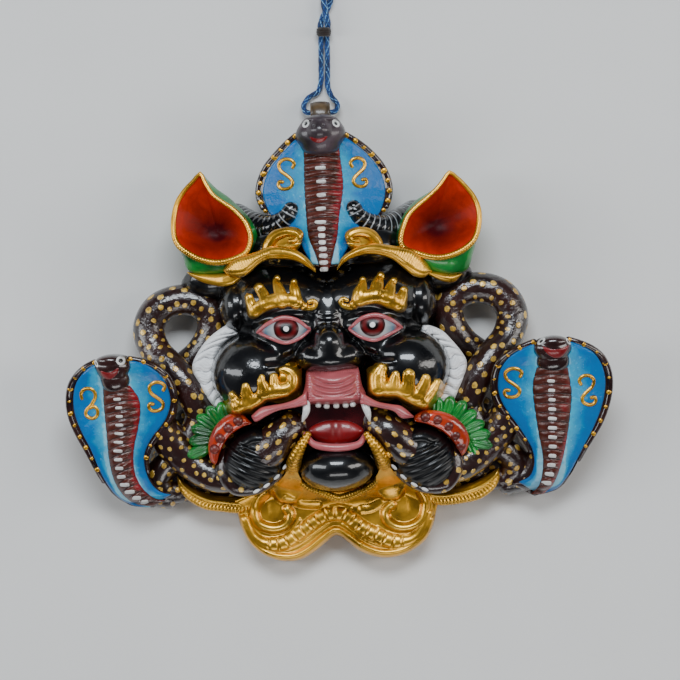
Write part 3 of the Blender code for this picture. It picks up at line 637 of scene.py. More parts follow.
def belly_enamel(tone, crimson):
    """Maroon enamel on ribs, crimson on one side, painted shade in the grooves between the plates and
    pale painted highlight streaks over the right half; the map's u runs across the belly from 0 to 1 and
    its v along it in mm."""
    paint = Finish("belly enamel", tone, Coat_Weight=0.45, Coat_Roughness=0.18, Specular_IOR_Level=0.3)
    across = paint.add("ShaderNodeSeparateXYZ", {"Vector": paint.skin}).outputs["X"]
    brush = paint.noise(150.0, 4.0, 0.6)
    bright = paint.span(paint.math("ADD", across, paint.span(brush, 0.2, 0.8, -0.28, 0.28)), 0.74, 0.92)
    tones = paint.mix(paint.span(brush, 0.3, 0.7), shade(tone, 0.55), shade(tone, 1.5))
    patchy = paint.math("MULTIPLY", bright, paint.span(paint.noise(45.0, 2.0), 0.36, 0.56))
    tones = paint.mix(patchy, tones, crimson)
    # painted shade: near black in the grooves between the plates
    tones = paint.mix(paint.span(paint.crease(), 0.04, 0.26, 0.0, 0.95), tones, (0.004, 0.001, 0.001))
    # painted highlight: pale streaks over the right half of the plates, where their ridges catch the light
    strokes = paint.add("ShaderNodeMapping", {"Vector": paint.skin, "Scale": (2.2, 1.9, 1.0)})
    painted_highlight = paint.span(paint.noise(1.0, 3.0, 0.7, where=strokes.outputs[0]), 0.60, 0.65)
    where = paint.math("MULTIPLY", paint.span(across, 0.36, 0.5), paint.span(across, 0.97, 0.80))
    painted_highlight = paint.math("MULTIPLY", painted_highlight, paint.math("MULTIPLY", where, 0.75))
    tones = paint.mix(painted_highlight, tones, (0.50, 0.40, 0.37))
    paint.set("Base Color", tones)
    paint.rough(brush, 0.28, 0.45)
    paint.bump([(paint.noise(160.0, 3.0), 0.0003), (paint.noise(560.0, 3.0), 0.00016)])
    return paint.made


def ear_enamel(tone, deep):
    """Orange-red bowl that darkens to maroon at its bottom; the map's u is 0 there and 1 at the rim."""
    paint = Finish("ear enamel", tone, Coat_Weight=0.03, Coat_Roughness=0.30, Specular_IOR_Level=0.05)
    out = paint.add("ShaderNodeSeparateXYZ", {"Vector": paint.skin}).outputs["X"]
    brush = paint.noise(75.0, 5.0, 0.62, warp=0.8)
    share = paint.math("ADD", out, paint.span(brush, 0.2, 0.8, -0.22, 0.22))
    paint.set("Base Color", paint.mix(paint.span(share, 0.22, 1.0), deep,
                                      paint.mix(paint.span(share, 0.60, 1.0), shade(tone, 0.70), tone)))
    paint.rough(brush, 0.28, 0.45)
    paint.bump([(paint.noise(90.0, 3.0), 0.0004), (paint.noise(480.0, 3.0, 0.6), 0.00008)])
    return paint.made


def horn_enamel(tone, pitch):
    """Black lacquer with thin worn grey lines on the rings, which the map's u counts in mm."""
    paint = Finish("horn enamel", tone, Coat_Weight=1.0, Coat_Roughness=0.06, Specular_IOR_Level=0.3)
    along = paint.add("ShaderNodeSeparateXYZ", {"Vector": paint.skin}).outputs["X"]
    wave = paint.math("PINGPONG", paint.math("ADD", along, 0.5 * pitch), 0.5 * pitch)
    line = paint.span(wave, 0.38 * pitch, 0.45 * pitch)
    worn = paint.span(paint.noise(120.0, 3.0), 0.42, 0.52, 0.0, 0.8)
    paint.set("Base Color", paint.mix(paint.math("MULTIPLY", line, worn), tone, (0.42, 0.44, 0.46)))
    paint.set("Roughness", paint.span(worn, 0.0, 1.0, 0.22, 0.34))
    paint.bump([(paint.noise(110.0, 3.0), 0.0003), (paint.noise(420.0, 3.0), 0.00008)])
    return paint.made


def eye_enamel(white, iris):
    """Painted eye, with painted shade in its corners and under its upper lid; the map's origin is the middle
    of the iris, its units are mm.
    """
    paint = Finish("eye enamel", white, Coat_Weight=0.10, Coat_Roughness=0.25, Specular_IOR_Level=0.25)
    parts = paint.add("ShaderNodeSeparateXYZ", {"Vector": paint.skin})
    across, up = parts.outputs["X"], parts.outputs["Y"]
    wobble = paint.span(paint.noise(300.0, 2.0), 0.0, 1.0, -0.30, 0.30)
    far = paint.add("ShaderNodeVectorMath", {0: paint.skin, 1: (1.0, 1.08, 1.0)}, {"operation": "MULTIPLY"})
    far = paint.add("ShaderNodeVectorMath", {0: far.outputs[0]}, {"operation": "LENGTH"}).outputs["Value"]
    far = paint.math("ADD", far, wobble)
    side = paint.math("ADD", paint.math("ABSOLUTE", across), paint.math("MULTIPLY", wobble, 2.0))
    # painted shade: the white turns blue-grey towards the corners
    tones = paint.mix(paint.span(side, 6.0, 10.0), white, (0.085, 0.150, 0.200))
    tones = paint.mix(paint.span(side, 10.2, 12.2), tones, (0.26, 0.060, 0.060))
    # painted shade: darker along the top, under the upper lid
    tones = paint.mix(paint.span(up, 1.5, 4.8, 0.0, 0.8), tones, (0.050, 0.075, 0.100))
    rim = paint.mix(paint.span(far, 4.6, 5.6), iris, shade(iris, 0.22))
    rim = paint.mix(paint.span(far, 3.0, 3.9), shade(iris, 0.45), rim)
    tones = paint.mix(paint.span(far, 6.1, 6.5, 1.0, 0.0), tones, rim)
    tones = paint.mix(paint.span(far, 2.6, 2.95, 1.0, 0.0), tones, (0.0015, 0.001, 0.001))
    tones = paint.mix(paint.span(far, 1.25, 1.55, 1.0, 0.0), tones, (0.85, 0.85, 0.83))
    paint.set("Base Color", tones)
    paint.rough(paint.noise(90.0), 0.25, 0.35)
    paint.bump([(paint.noise(150.0, 2.0), 0.00010)])
    return paint.made


def carved_white(tone):
    """Unvarnished white on the carved ruff, with painted shade, a grey, in its creases."""
    paint = Finish("ruff white", tone, Specular_IOR_Level=0.3)
    dirt = paint.noise(120.0, 5.0, 0.65)
    tones = paint.mix(paint.span(dirt, 0.3, 0.75), shade(tone, 1.2), shade(tone, 0.92))
    # painted shade: grey in the creases
    tones = paint.mix(paint.span(paint.crease(), 0.02, 0.30, 0.0, 0.6), tones, (0.22, 0.22, 0.24))
    paint.set("Base Color", tones)
    paint.rough(dirt, 0.6, 0.8)
    paint.bump([(paint.noise(420.0, 4.0, 0.6), 0.00015)])
    return paint.made


def braid_cloth(name, tone, rough=0.75):
    """Braided cord: tone by strand, with pale and navy flecks where the mesh marks them, and painted shade
    where it marks the gaps.
    """
    paint = Finish(name, tone, Sheen_Weight=0.35, Sheen_Roughness=0.5, Specular_IOR_Level=0.3)
    mark = paint.crease()
    tones = paint.mix(paint.span(paint.noise(900.0, 3.0), 0.3, 0.7), shade(tone, 0.55), shade(tone, 1.5))
    tones = paint.mix(paint.span(mark, 0.55, 0.75), tones, (0.24, 0.50, 0.66))
    tones = paint.mix(paint.span(mark, -0.55, -0.75), tones, (0.003, 0.014, 0.055))
    # painted shade: dark in the gaps between strands and turns, which the mesh marks negative
    tones = paint.mix(paint.span(mark, -0.15, -0.40, 0.0, 0.8), tones, shade(tone, 0.2))
    paint.set("Base Color", tones)
    paint.rough(paint.noise(700.0), rough * 0.9, rough * 1.1)
    paint.bump([(paint.noise(2600.0, 2.0), 0.00012)])
    return paint.made


def floor_board(tone):
    """Pale matte floor."""
    paint = Finish("pale floor", tone, Specular_IOR_Level=0.2)
    grain = paint.noise(14.0, 5.0)
    paint.set("Base Color", paint.mix(paint.span(grain, 0.3, 0.7), shade(tone, 0.98), shade(tone, 1.01)))
    paint.rough(grain, 0.72, 0.8)
    return paint.made


class Paints:
    """Every finish, made once and shared by the pieces."""

    def __init__(self, sizes, colours):
        c = colours
        self.black = black_enamel(c.black)
        self.hand = black_enamel(c.black, "hand enamel", 0.2)
        self.gold = gold_paint(c.gold)
        self.snake = snake_enamel(c.brown, c.gold, sizes.dot / MM, sizes.dot_pitch / MM)
        self.brown = enamel("brown enamel", c.brown, 1.8, 0.45, 0.25)
        self.blue = hood_enamel(c.blue, c.pale_blue)
        self.belly = belly_enamel(c.belly, c.crimson)
        self.white = enamel("white enamel", c.white, 1.1, 0.8, 0.3, 0.6)
        self.ruff = carved_white(c.ruff)
        self.ear = ear_enamel(c.ear, c.ear_deep)
        self.green = enamel("green enamel", c.green, 1.6, 0.35, 0.32, 0.5)
        self.orange = enamel("orange enamel", c.orange, 1.3, 0.5, 0.3)
        self.rust = enamel("rust enamel", (0.12, 0.0085, 0.003), 1.5, 0.5, 0.42, 0.2)
        self.pink = enamel("pink enamel", c.pink, 1.12, 0.85, 0.36, 0.6, 0.5)
        self.mouth = enamel("mouth enamel", c.mouth, 1.5, 0.5, 0.2)
        self.tongue = enamel("tongue enamel", c.tongue, 1.2, 0.6, 0.34, 0.4)
        self.horn = horn_enamel(c.black, sizes.horn_rib / MM)
        self.eye = eye_enamel((0.40, 0.39, 0.39), c.iris)
        self.head = enamel("head enamel", (0.040, 0.026, 0.032), 1.9, 0.35, 0.4, 0.35)
        self.brass = enamel("old brass", (0.10, 0.060, 0.025), 1.8, 0.3, 0.4, 0.3)
        self.braid = braid_cloth("blue braid", c.braid)
        self.cotton = braid_cloth("dark binding", (0.016, 0.007, 0.004), 0.85)
        self.floor = floor_board(c.floor)


PAINTS = {}


def paints(context):
    """The shared finishes."""
    if "all" not in PAINTS:
        PAINTS["all"] = Paints(context.scene.mask_sizes, context.scene.mask_colours)
    return PAINTS["all"]


# The face

AXIS = -1.0     # the face's own midline on the drawing
SKULL = [
    ((0, 4, 8), (52, 34, 36)),
    ((20, 18.5, 24), (28, 17, 26)),
    ((26, 27, 10), (30, 15, 30)),
    ((38, -17, 31), (21.5, 19.5, 22)),
    ((32, -17, 10), (29, 27, 30)),
    ((30, -46, 8), (30, 26, 24)),
    ((0, -50, 6), (34, 32, 25)),
    ((46, -56, 8), (25, 24, 24)),
]
FEATURES = [
    ((46.5, 17, 22), (8.0, 13, 17)),
    ((22, -5, 32), (18, 9, 14)),
    ((57, 31, 10), (17, 11, 17)),
    ((22, 44, 20), (20.5, 14, 17.5)),
    ((22.4, 4.0, 34.5), (16.5, 10.2, 14)),
]
NOSE = [
    ((0, -3.4, 46.5), (8.6, 9.2, 12.5)),
    ((8.8, -9.8, 42.5), (8.0, 7.8, 12)),
    ((0, -11.2, 44.5), (12, 7.2, 13)),
    ((0, 10, 36), (8.5, 15, 10.5)),
]
NOSE_BLEND = 0.45
BLEND = 0.8
FACE_EDGE = [(30, 52), (50, 47), (64, 40), (73, 30), (70, 25), (60, 18), (56, 10), (60, 0), (64, -16),
             (61, -34), (60, -48), (58, -62), (52, -74), (36, -80), (20, -82)]
FACE_TOP, FACE_BOTTOM = 52, -82
FACE_ROWS, FRONT_COLUMNS, BACK_COLUMNS = 210, 190, 60
WRINKLES = [
    ([(9.8, 1.5), (13.0, -3.6), (17.2, -8.6), (18.6, -16)], 1.7, 1.8),
    ([(11, -2.2), (17.5, -7.4), (24, -10.8), (31, -11.4)], 1.6, 1.0),
    ([(7, 12), (12.5, 13.2), (22, 13.6), (31, 11), (37, 6.5)], 1.3, 0.7),
]


def both(form):
    """A form and its mirror image, or the form alone where it lies on the midline."""
    centre, radii = form
    return [form, ((-centre[0], centre[1], centre[2]), radii)] if centre[0] else [form]


def face_height(x, y):
    """Front of the black face: skull and features melted together, then wrinkled."""
    x = x - AXIS
    forms = [dome(x, y, *one) for form in SKULL + FEATURES for one in both(form)]
    nose = [dome(x, y, *one) for form in NOSE for one in both(form)]
    z = melt(forms + [melt(nose, NOSE_BLEND)], BLEND)
    side = np.abs(x)
    for path, width, depth in WRINKLES:
        z = z + groove(side, y, path, width, depth)
    z = z + ridge(side, y, [(12, -5.2), (18, -10.2), (25, -13.6), (31, -14.2)], 1.6, 0.8)
    for level in (8.6, 10.8):
        z = z + ridge(side, y, [(0, level), (2.2, level), (3.8, level + 0.6)], 0.9, 0.5)
    return z


def hollow_height(x, y, wall):
    """Hollow behind the face: the skull's forms drawn in by the wall."""
    x = x - AXIS
    forms = [dome(x, y, centre, np.asarray(radii) - wall) for form in SKULL for centre, radii in both(form)]
    return np.maximum(0.0, melt(forms, BLEND))


def face_body(wall):
    """Front and hollow back over rows that follow the face's outline."""
    edge = spline(FACE_EDGE)
    level = np.linspace(FACE_TOP, FACE_BOTTOM, FACE_ROWS)
    half = np.interp(-level, -edge[:, 1], edge[:, 0])

    def across(share):
        x = AXIS + half[:, None] * share
        return x, np.broadcast_to(level[:, None], x.shape)

    x, y = across(np.linspace(-1, 1, FRONT_COLUMNS))
    top = np.maximum(face_height(x, y), 1.0)
    share = np.linspace(1, -1, BACK_COLUMNS)
    back = across(share)
    rim = (step_up(np.abs(share), 1.0, 0.93) * step_up(level, FACE_TOP, FACE_TOP - 3)[:, None]
           * step_up(level, FACE_BOTTOM, FACE_BOTTOM + 4)[:, None])
    under = np.minimum(hollow_height(*back, wall), np.maximum(0, face_height(*back) - wall)) * rim
    rings = np.concatenate([np.dstack([x, y, top]), np.dstack([*back, under])], axis=1)
    return skin(rings, crease=np.concatenate([hollowness(top), np.zeros_like(under)], axis=1))


class MASK_OT_face(bpy.types.Operator):
    """Black face with its hollow back, and the chin"""
    bl_idname = "mask.face"
    bl_label = "Face"

    def execute(self, context):
        wall = context.scene.mask_sizes.wall / MM
        piece("face", [face_body(wall)], paints(context).black)
        piece("chin", [blob((0.2, -65.6, 31.5), (18.9, 12.0, 20.0), grid=(44, 66), square=0.92)],
              paints(context).black, floor=14)
        return {"FINISHED"}


LEFT_LIDS = [(-36.4, 3.3), (-35.2, 4.4), (-31.4, 7.2), (-24.3, 10.0), (-17.0, 8.8), (-11.7, 4.8),
             (-10.4, 3.6), (-11.8, 2.2), (-15.8, -0.6), (-22.8, -2.5), (-29.8, 0.0), (-35.0, 2.6)]
LID_RADII = [0.75, 1.05, 1.15, 1.05, 0.75, 0.9, 0.95, 0.9, 0.75]
LEFT_IRIS = (-22.1, 4.5)
RIGHT_IRIS = (20.9, 4.7)


def eye_height(x, y):
    """Eyeball behind the lids, on the side that x is on."""
    return dome(np.abs(x + 0.9), y, (22.4, 4.1, 37.0), (16.5, 10.5, 13.4))


def eyeball(lids, iris):
    """Painted front of one eye, whose map is centred on the iris."""
    made = disc(lids, np.mean(lids, axis=0), lambda x, y, inward, share: eye_height(x, y), 2.5, (26, 64))
    return remap(made, lambda x, y: (x - iris[0], y - iris[1]))


def eyelid(lids):
    """Pink rim round one eye, thicker above."""
    line = even(lids, 90, closed=True)
    z = eye_height(line[:, 0], line[:, 1]) + 0.3
    return tube(np.column_stack([line, z])[::3], LID_RADII, 0.7, 14)


class MASK_OT_eyes(bpy.types.Operator):
    """Painted eyes and their pink lids"""
    bl_idname = "mask.eyes"
    bl_label = "Eyes"

    def execute(self, context):
        right = flipped(LEFT_LIDS, -0.55, 0.5)
        piece("eyes", [eyeball(LEFT_LIDS, LEFT_IRIS), eyeball(right, RIGHT_IRIS)], paints(context).eye)
        piece("eyelids", [eyelid(LEFT_LIDS), eyelid(right)], paints(context).pink)
        return {"FINISHED"}


LEFT_BROW = [
    ([(-37.0, 14.2), (-33.0, 16.6), (-28.0, 18.4), (-22.0, 18.9), (-17.0, 17.8), (-13.0, 15.6)],
     [3.1, 3.3, 3.6, 3.5, 3.0, 1.9]),
    ([(-37.4, 14.2), (-38.7, 17.9), (-39.6, 20.6)], [3.2, 2.7, 2.1]),
    ([(-31.6, 17.8), (-32.0, 20.4), (-33.1, 22.9), (-34.4, 24.9)], [3.4, 2.9, 2.6, 2.4]),
    ([(-23.6, 18.5), (-24.3, 22.0), (-25.2, 25.0), (-25.9, 28.0), (-25.5, 29.4)], [3.8, 3.2, 2.7, 2.2, 1.5]),
    ([(-16.6, 17.5), (-16.8, 21.0), (-17.4, 25.0), (-17.3, 27.2)], [3.5, 2.7, 2.5, 1.6]),
    ([(-13.0, 15.2), (-10.2, 14.5), (-7.7, 15.0), (-7.1, 16.8), (-8.4, 17.9), (-10.2, 17.4)],
     [1.8, 1.4, 1.3, 1.2, 1.1, 0.9]),
]
RIGHT_BROW = [
    ([(12.0, 15.6), (16.0, 17.4), (21.0, 18.8), (26.0, 18.4), (30.5, 16.4), (34.4, 14.4)],
     [2.0, 3.3, 3.7, 3.9, 4.0, 3.4]),
    ([(15.2, 18.0), (15.8, 21.0), (16.7, 24.4), (17.0, 27.0)], [4.0, 3.8, 2.5, 1.5]),
    ([(23.2, 19.5), (23.8, 23.3), (24.8, 26.3), (25.9, 28.5)], [3.8, 3.4, 2.9, 1.8]),
    ([(28.8, 18.4), (30.3, 22.4), (31.5, 25.0), (32.2, 25.8)], [3.8, 3.1, 2.4, 1.7]),
    ([(34.0, 14.8), (35.8, 18.4), (36.9, 21.0)], [3.7, 3.0, 2.0]),
    ([(12.4, 14.8), (9.6, 14.2), (6.6, 15.2), (5.7, 17.0), (7.0, 18.3), (8.8, 17.5)],
     [1.8, 1.6, 1.3, 1.2, 1.1, 0.9]),
]
LEFT_WHISKER = [
    ([(-24.0, -25.8), (-29.5, -26.4), (-34.5, -27.2), (-39.0, -30.2), (-43.5, -31.6), (-48.6, -32.8)],
     [3.4, 3.7, 3.4, 3.0, 3.2, 3.2]),
    ([(-28.0, -25.8), (-24.0, -25.5), (-21.0, -23.6), (-20.0, -20.4), (-21.0, -17.6), (-23.4, -16.1),
      (-25.2, -15.9)], [3.6, 3.5, 3.3, 3.0, 2.7, 2.2, 1.3]),
    ([(-28.6, -25.0), (-29.1, -21.5), (-29.3, -19.0)], [3.4, 2.6, 1.8]),
    ([(-34.4, -26.4), (-34.8, -23.4), (-35.5, -21.0), (-35.1, -19.0)], [3.8, 3.0, 2.2, 1.4]),
    ([(-42.0, -31.0), (-42.6, -28.0), (-43.1, -25.6), (-43.3, -23.4)], [3.6, 3.2, 2.8, 2.0]),
    ([(-47.6, -32.8), (-48.8, -30.0), (-49.9, -27.8), (-50.6, -26.8)], [3.4, 2.8, 2.0, 1.3]),
]
RIGHT_WHISKER = [
    ([(22.2, -26.8), (27.5, -27.2), (33.0, -27.8), (38.0, -30.8), (42.0, -33.4), (44.4, -34.6)],
     [3.8, 3.9, 3.7, 3.7, 3.6, 3.0]),
    ([(22.6, -26.6), (22.4, -22.6), (23.2, -19.4), (24.4, -17.4)], [4.4, 4.4, 4.2, 2.8]),
    ([(30.0, -26.6), (30.8, -23.2), (31.3, -20.6)], [3.8, 3.0, 2.0]),
    ([(36.8, -28.0), (37.5, -24.0), (37.8, -20.8)], [3.8, 3.1, 3.0]),
    ([(41.8, -31.0), (43.6, -28.2), (45.1, -25.6), (46.0, -23.0)], [3.8, 3.3, 2.9, 2.3]),
    ([(44.8, -33.4), (47.4, -31.0), (49.8, -28.2), (51.7, -25.3)], [3.4, 3.1, 2.5, 1.7]),
]
SUNK = 1.5      # how far the ground between the lobes lies under the face
VEIN = 0.22     # depth of the veins on a lobe
LOBE_BLEND = 1.6


def whisker_height(x, y):
    """Surface that the whiskers lie on: the cheek, held up in front of the mouth's corner."""
    side = np.abs(x - AXIS)
    shelf = 50.5 - 0.006 * np.maximum(0, side - 20) ** 2
    return melt([face_height(x, y), shelf], 0.6)


def lobe(x, y, path, radii, surface, vein):
    """Lobe laid along a path on a surface: z = path z + 0.5 + 0.68 sqrt(r^2 - d^2), with d the distance
    from the path, and a vein each side of it, vein exp(-(d / r - 0.45)^2 / 0.02) deep."""
    line = even(path, 24)
    away, along = nearest(x, y, line)
    size = travel(line)
    r = part_way(radii, along / size[-1])
    share = np.minimum(1, away / r)
    high = 0.68 * r * np.sqrt(1 - share ** 2) - vein * np.exp(-(share - 0.45) ** 2 / 0.02)
    return (np.interp(along, size, surface(line[:, 0], line[:, 1])) + 0.5 + high
            - FLANK * np.maximum(0, away - r))


def flames(parts, surface):
    """Flame-edged leaf: a plain body and veined lobes, (path, radii) each, melted together. The ground
    round them lies sunk under the face."""
    points = np.array([point for path, _ in parts for point in path])
    margin = 1.0 + max(max(radii) for _, radii in parts)
    (left, bottom), (right, top) = points.min(axis=0) - margin, points.max(axis=0) + margin

    def front(x, y, inward, u, v):
        lobes = [lobe(x, y, path, radii, surface, VEIN if k else 0.0)
                 for k, (path, radii) in enumerate(parts)]
        return np.maximum(melt(lobes, LOBE_BLEND), face_height(x, y) - SUNK)
    return leaf([(left, bottom), (right, bottom)], [(left, top), (right, top)], front, 2.0, (140, 86))


class MASK_OT_whiskers(bpy.types.Operator):
    """Gold eyebrows and whiskers with flame-shaped tips"""
    bl_idname = "mask.whiskers"
    bl_label = "Eyebrows and whiskers"

    def execute(self, context):
        gold = paints(context).gold
        piece("eyebrows", [flames(side, face_height) for side in (LEFT_BROW, RIGHT_BROW)], gold)
        piece("whiskers", [flames(side, whisker_height) for side in (LEFT_WHISKER, RIGHT_WHISKER)], gold)
        return {"FINISHED"}


# The mouth

MUZZLE_LEFT = [(-12.4, -13.0), (-13.2, -17.5), (-13.8, -23.5), (-15.6, -29.6), (-15.0, -33.6)]
MUZZLE_RIGHT = [(12.6, -13.5), (13.4, -18.2), (14.4, -24.7), (16.3, -30.0), (15.2, -34.4)]
LEFT_LIP = ([(-13.2, -27.0), (-18.7, -30.5), (-25.1, -32.4), (-31.4, -33.2), (-36.7, -34.3), (-41.3, -38.0)],
            [(-13.0, -33.6), (-18.8, -34.7), (-27.3, -35.9), (-33.7, -38.5), (-39.1, -41.2), (-41.3, -38.6)])
RIGHT_LIP = ([(13.2, -28.0), (21.2, -33.2), (28.5, -35.1), (33.8, -36.4), (39.5, -41.5)],
             [(13.0, -34.3), (23.2, -36.9), (29.5, -38.7), (33.5, -42.4), (39.5, -42.2)])
MOUTH_LEFT = [(-13.0, -32.0), (-16.0, -38.5), (-18.6, -44.5), (-15.5, -49.5), (-9.5, -54.5)]
MOUTH_RIGHT = [(13.0, -33.0), (17.5, -39.0), (19.2, -45.5), (16.0, -50.5), (10.0, -55.0)]
LOWER_LIP = [(-14.6, -48.3, 43), (-10.4, -53.6, 45), (0.3, -55.7, 46.5), (11.0, -54.5, 45), (15.3, -49.7, 43)]
TEETH = [(-7.7, -34.0), (-3.6, -34.7), (1.2, -34.7), (5.9, -34.6), (9.4, -34.3)]
TONGUE = [(-13.2, -46.4), (-6.5, -42.6), (0.9, -42.0), (8.4, -43.2), (14.4, -47.6), (9.4, -53.0),
          (0.6, -54.6), (-8.4, -52.6)]
LEFT_FANG = [(-13.6, -33.2, 49), (-13.9, -37.0, 49.6), (-15.9, -41.8, 47.5)]
RIGHT_FANG = [(15.2, -34.2, 49), (16.6, -38.6, 49.6), (17.4, -42.9, 47.5)]


FOLD_PITCH = 2.7    # distance between the folds over the lip


def muzzle_front(x, y, inward, u, v):
    """Pink muzzle: two melted domes, three folds that sag in the middle and a stitched cord each side."""
    z = melt([dome(x, y, (0.4, -24.5, 38), (19, 13.0, 16.0)),
              dome(x, y, (0.4, -29, 39), (19, 6.5, 16.0))], 0.7)
    across = (x - 0.4) / 10.8
    middle = 1 - step_up(np.abs(across), 0.80, 1.05)
    down = -18.0 - y
    phase = down - 3.4 * (1 - across ** 2) * np.clip(down / 5, 0, 1)
    fold = (0.5 - 0.5 * np.cos(2 * np.pi * phase / FOLD_PITCH)) ** 0.8
    fold = fold * step_up(down, 0, 1.0) * step_up(y + 30.5, 0, 1.5)
    comb = 0.3 * np.cos(2 * np.pi * x / 0.9) * np.exp(-((y + 18.2) / 0.9) ** 2) * middle
    stitch = 0.25 * np.sin(2 * np.pi * y / 1.2)
    cord = np.exp(-((np.abs(x - 0.4) - 12.7) / 1.0) ** 2)
    lip = 1.6 * np.exp(-((y + 31.6 + 0.006 * x ** 2) / 1.6) ** 2)
    return z + 1.6 * middle * fold + comb + cord * (0.9 + stitch) + lip - 2.2 + 1.2 * swell(inward, 1.4)


def lip_front(x, y, inward, u, v):
    """Drawn-back lip: falls outwards, rounded, with a fine line near its upper edge."""
    z = 52.5 - 0.010 * np.maximum(0, np.abs(x) - 14) ** 2
    return z - 1.2 + 2.2 * swell(inward, 2.0) - 0.5 * np.exp(-((v - 0.72) / 0.08) ** 2)


def cavity_front(x, y, inward, u, v):
    """Dark inside of the mouth: a bowl with faint ripples across."""
    return 43.5 - 9.0 * swell(inward, 8.0) + 0.35 * np.sin(x * 1.3) * swell(inward, 4.0)


def tongue_front(x, y, inward, share):
    """Tongue: a cushion with a groove down its middle."""
    return 39.5 + 2.8 * swell(inward, 6.5) - 0.8 * np.exp(-((x - 0.5) / 2.2) ** 2)


class MASK_OT_mouth(bpy.types.Operator):
    """Pink muzzle and lips, dark mouth, tongue, teeth and fangs"""
    bl_idname = "mask.mouth"
    bl_label = "Mouth"

    def execute(self, context):
        kit = paints(context)
        piece("muzzle", [leaf(MUZZLE_LEFT, MUZZLE_RIGHT, muzzle_front, 8.0, (84, 124))], kit.pink)
        piece("drawn_lips", leaves((LEFT_LIP, RIGHT_LIP), lip_front, 3.0, (80, 18)), kit.pink)
        piece("lower_lip", [tube(LOWER_LIP, [1.3, 1.9, 2.1, 1.9, 1.3], 0.5, 18)], kit.pink)
        piece("mouth_cavity", [leaf(MOUTH_LEFT, MOUTH_RIGHT, cavity_front, 6.0, (50, 50))], kit.mouth)
        piece("tongue", [disc(TONGUE, (0.5, -48.3), tongue_front, 4.0, (28, 80))], kit.tongue)
        teeth = [blob((x, y, 47.2), (1.55, 1.5, 2.2), grid=(12, 16), square=0.8) for x, y in TEETH]
        fangs = [tube(path, [1.9, 1.9, 1.45, 0.5], 0.4, 18) for path in (LEFT_FANG, RIGHT_FANG)]
        piece("teeth", teeth + fangs, kit.white)
        return {"FINISHED"}


# Gold band over the forehead

LEFT_BAND = ([(-6.0, 33.6), (-10.1, 39.3), (-15.2, 43.3), (-21, 45.3), (-27.5, 45.9), (-31.4, 45.2),
              (-35.3, 43.6), (-40.1, 42.2), (-46.9, 40.8), (-50.6, 38.2), (-52.6, 35)],
             [(-6.1, 31.6), (-10.7, 35.0), (-16.3, 38.1), (-23.0, 39.3), (-29.7, 39.1), (-34.6, 36.9),
              (-39.5, 32.8), (-43.4, 31.1), (-47.2, 31.5), (-50.5, 32.8), (-52.6, 35)])
RIGHT_BAND = ([(4.3, 33.4), (6.9, 38.6), (11.8, 42.2), (17.6, 44.6), (24.4, 45.2), (32.0, 43.9), (39.6, 42.5),
               (43.3, 40.9), (47.0, 37.8), (49.8, 33.9), (51.8, 30.3)],
              [(4.2, 32.3), (7.7, 35.7), (12.6, 38.3), (19.4, 39.8), (26.0, 39.1), (32.6, 36.5), (38.2, 31.5),
               (42.8, 28.0), (47.6, 27.3), (51.8, 30.3)])
LEFT_BAND_CURL = ([(-32.5, 42.8), (-30.4, 46.2), (-28.6, 50.6), (-25.2, 54.0), (-19.6, 55.3), (-14.2, 54.5),
                   (-11.6, 52.0), (-11.9, 49.2), (-12.8, 47.6)],
                  [(-32.0, 42.0), (-27.5, 41.6), (-24.0, 41.4), (-20.0, 41.6), (-16.0, 42.6), (-14.0, 44.6),
                   (-12.9, 46.6)])
RIGHT_BAND_CURL = ([(27.6, 42.2), (25.6, 45.6), (24.2, 49.4), (21.4, 52.8), (17.1, 53.8), (12.6, 53.2),
                    (9.5, 51.2), (8.9, 48.6), (9.8, 46.8)],
                   [(27.0, 41.4), (23.0, 41.0), (19.6, 40.8), (15.4, 41.0), (12.2, 42.2), (10.6, 44.0),
                    (9.9, 46.0)])
LEFT_HOOK = [(-30.8, 42.4), (-28.6, 47.4), (-25.6, 51.0), (-20.4, 52.6), (-15.6, 51.8), (-14.0, 49.8),
             (-15.6, 48.0), (-18.2, 47.8)]
RIGHT_HOOK = [(26.2, 41.8), (24.2, 46.8), (21.2, 50.0), (16.8, 51.2), (12.6, 50.4), (11.2, 48.4),
              (12.8, 46.8), (15.2, 46.8)]
LEFT_LOWER_BAND = ([(-70.8, 35.2), (-64.4, 34.2), (-56.8, 33.5), (-50.0, 33.6), (-43.4, 31.6)],
                   [(-70.8, 34.8), (-68.3, 32.4), (-62.7, 29.3), (-55.1, 27.1), (-48.4, 27.3), (-43.4, 30.6)])
RIGHT_LOWER_BAND = ([(49.5, 30.6), (55.3, 29.8), (60.1, 29.1), (67.0, 28.6)],
                    [(49.5, 28.6), (53.8, 26.3), (58.0, 24.7), (62.8, 24.5), (67.0, 28.2)])


def band_level(x):
    """Height of the forehead band's underside."""
    return np.interp(np.abs(x - AXIS), [5, 11, 19, 28, 36, 43.5, 52], [49.5, 48.5, 46.5, 44.5, 41.5, 38, 33])


def band_front(pitch):
    """Forehead band: a half-round whose outer part has fine slanting ribs, with a line near its
    lower edge."""
    def front(x, y, inward, u, v):
        slant = np.sin(2 * np.pi * (u * 60.0 / pitch + 2.4 * v))
        rib = 0.11 * slant * step_up(0.72 - v, 0.0, 0.15) * step_up(u, 0.45, 0.6)
        line = -0.6 * np.exp(-((v - 0.76) / 0.045) ** 2)
        return band_level(x) + 3.4 * swell(inward, 3.3) + (rib + line) * swell(inward, 1.2)
    return front


def curl_front(x, y, inward, u, v):
    """Curled end of the band: a low cushion under its hooked ridge."""
    return band_level(x) - 4.6 + 2.2 * swell(inward, 3.0) + 1.2 * np.exp(-((v - 0.72) / 0.16) ** 2)


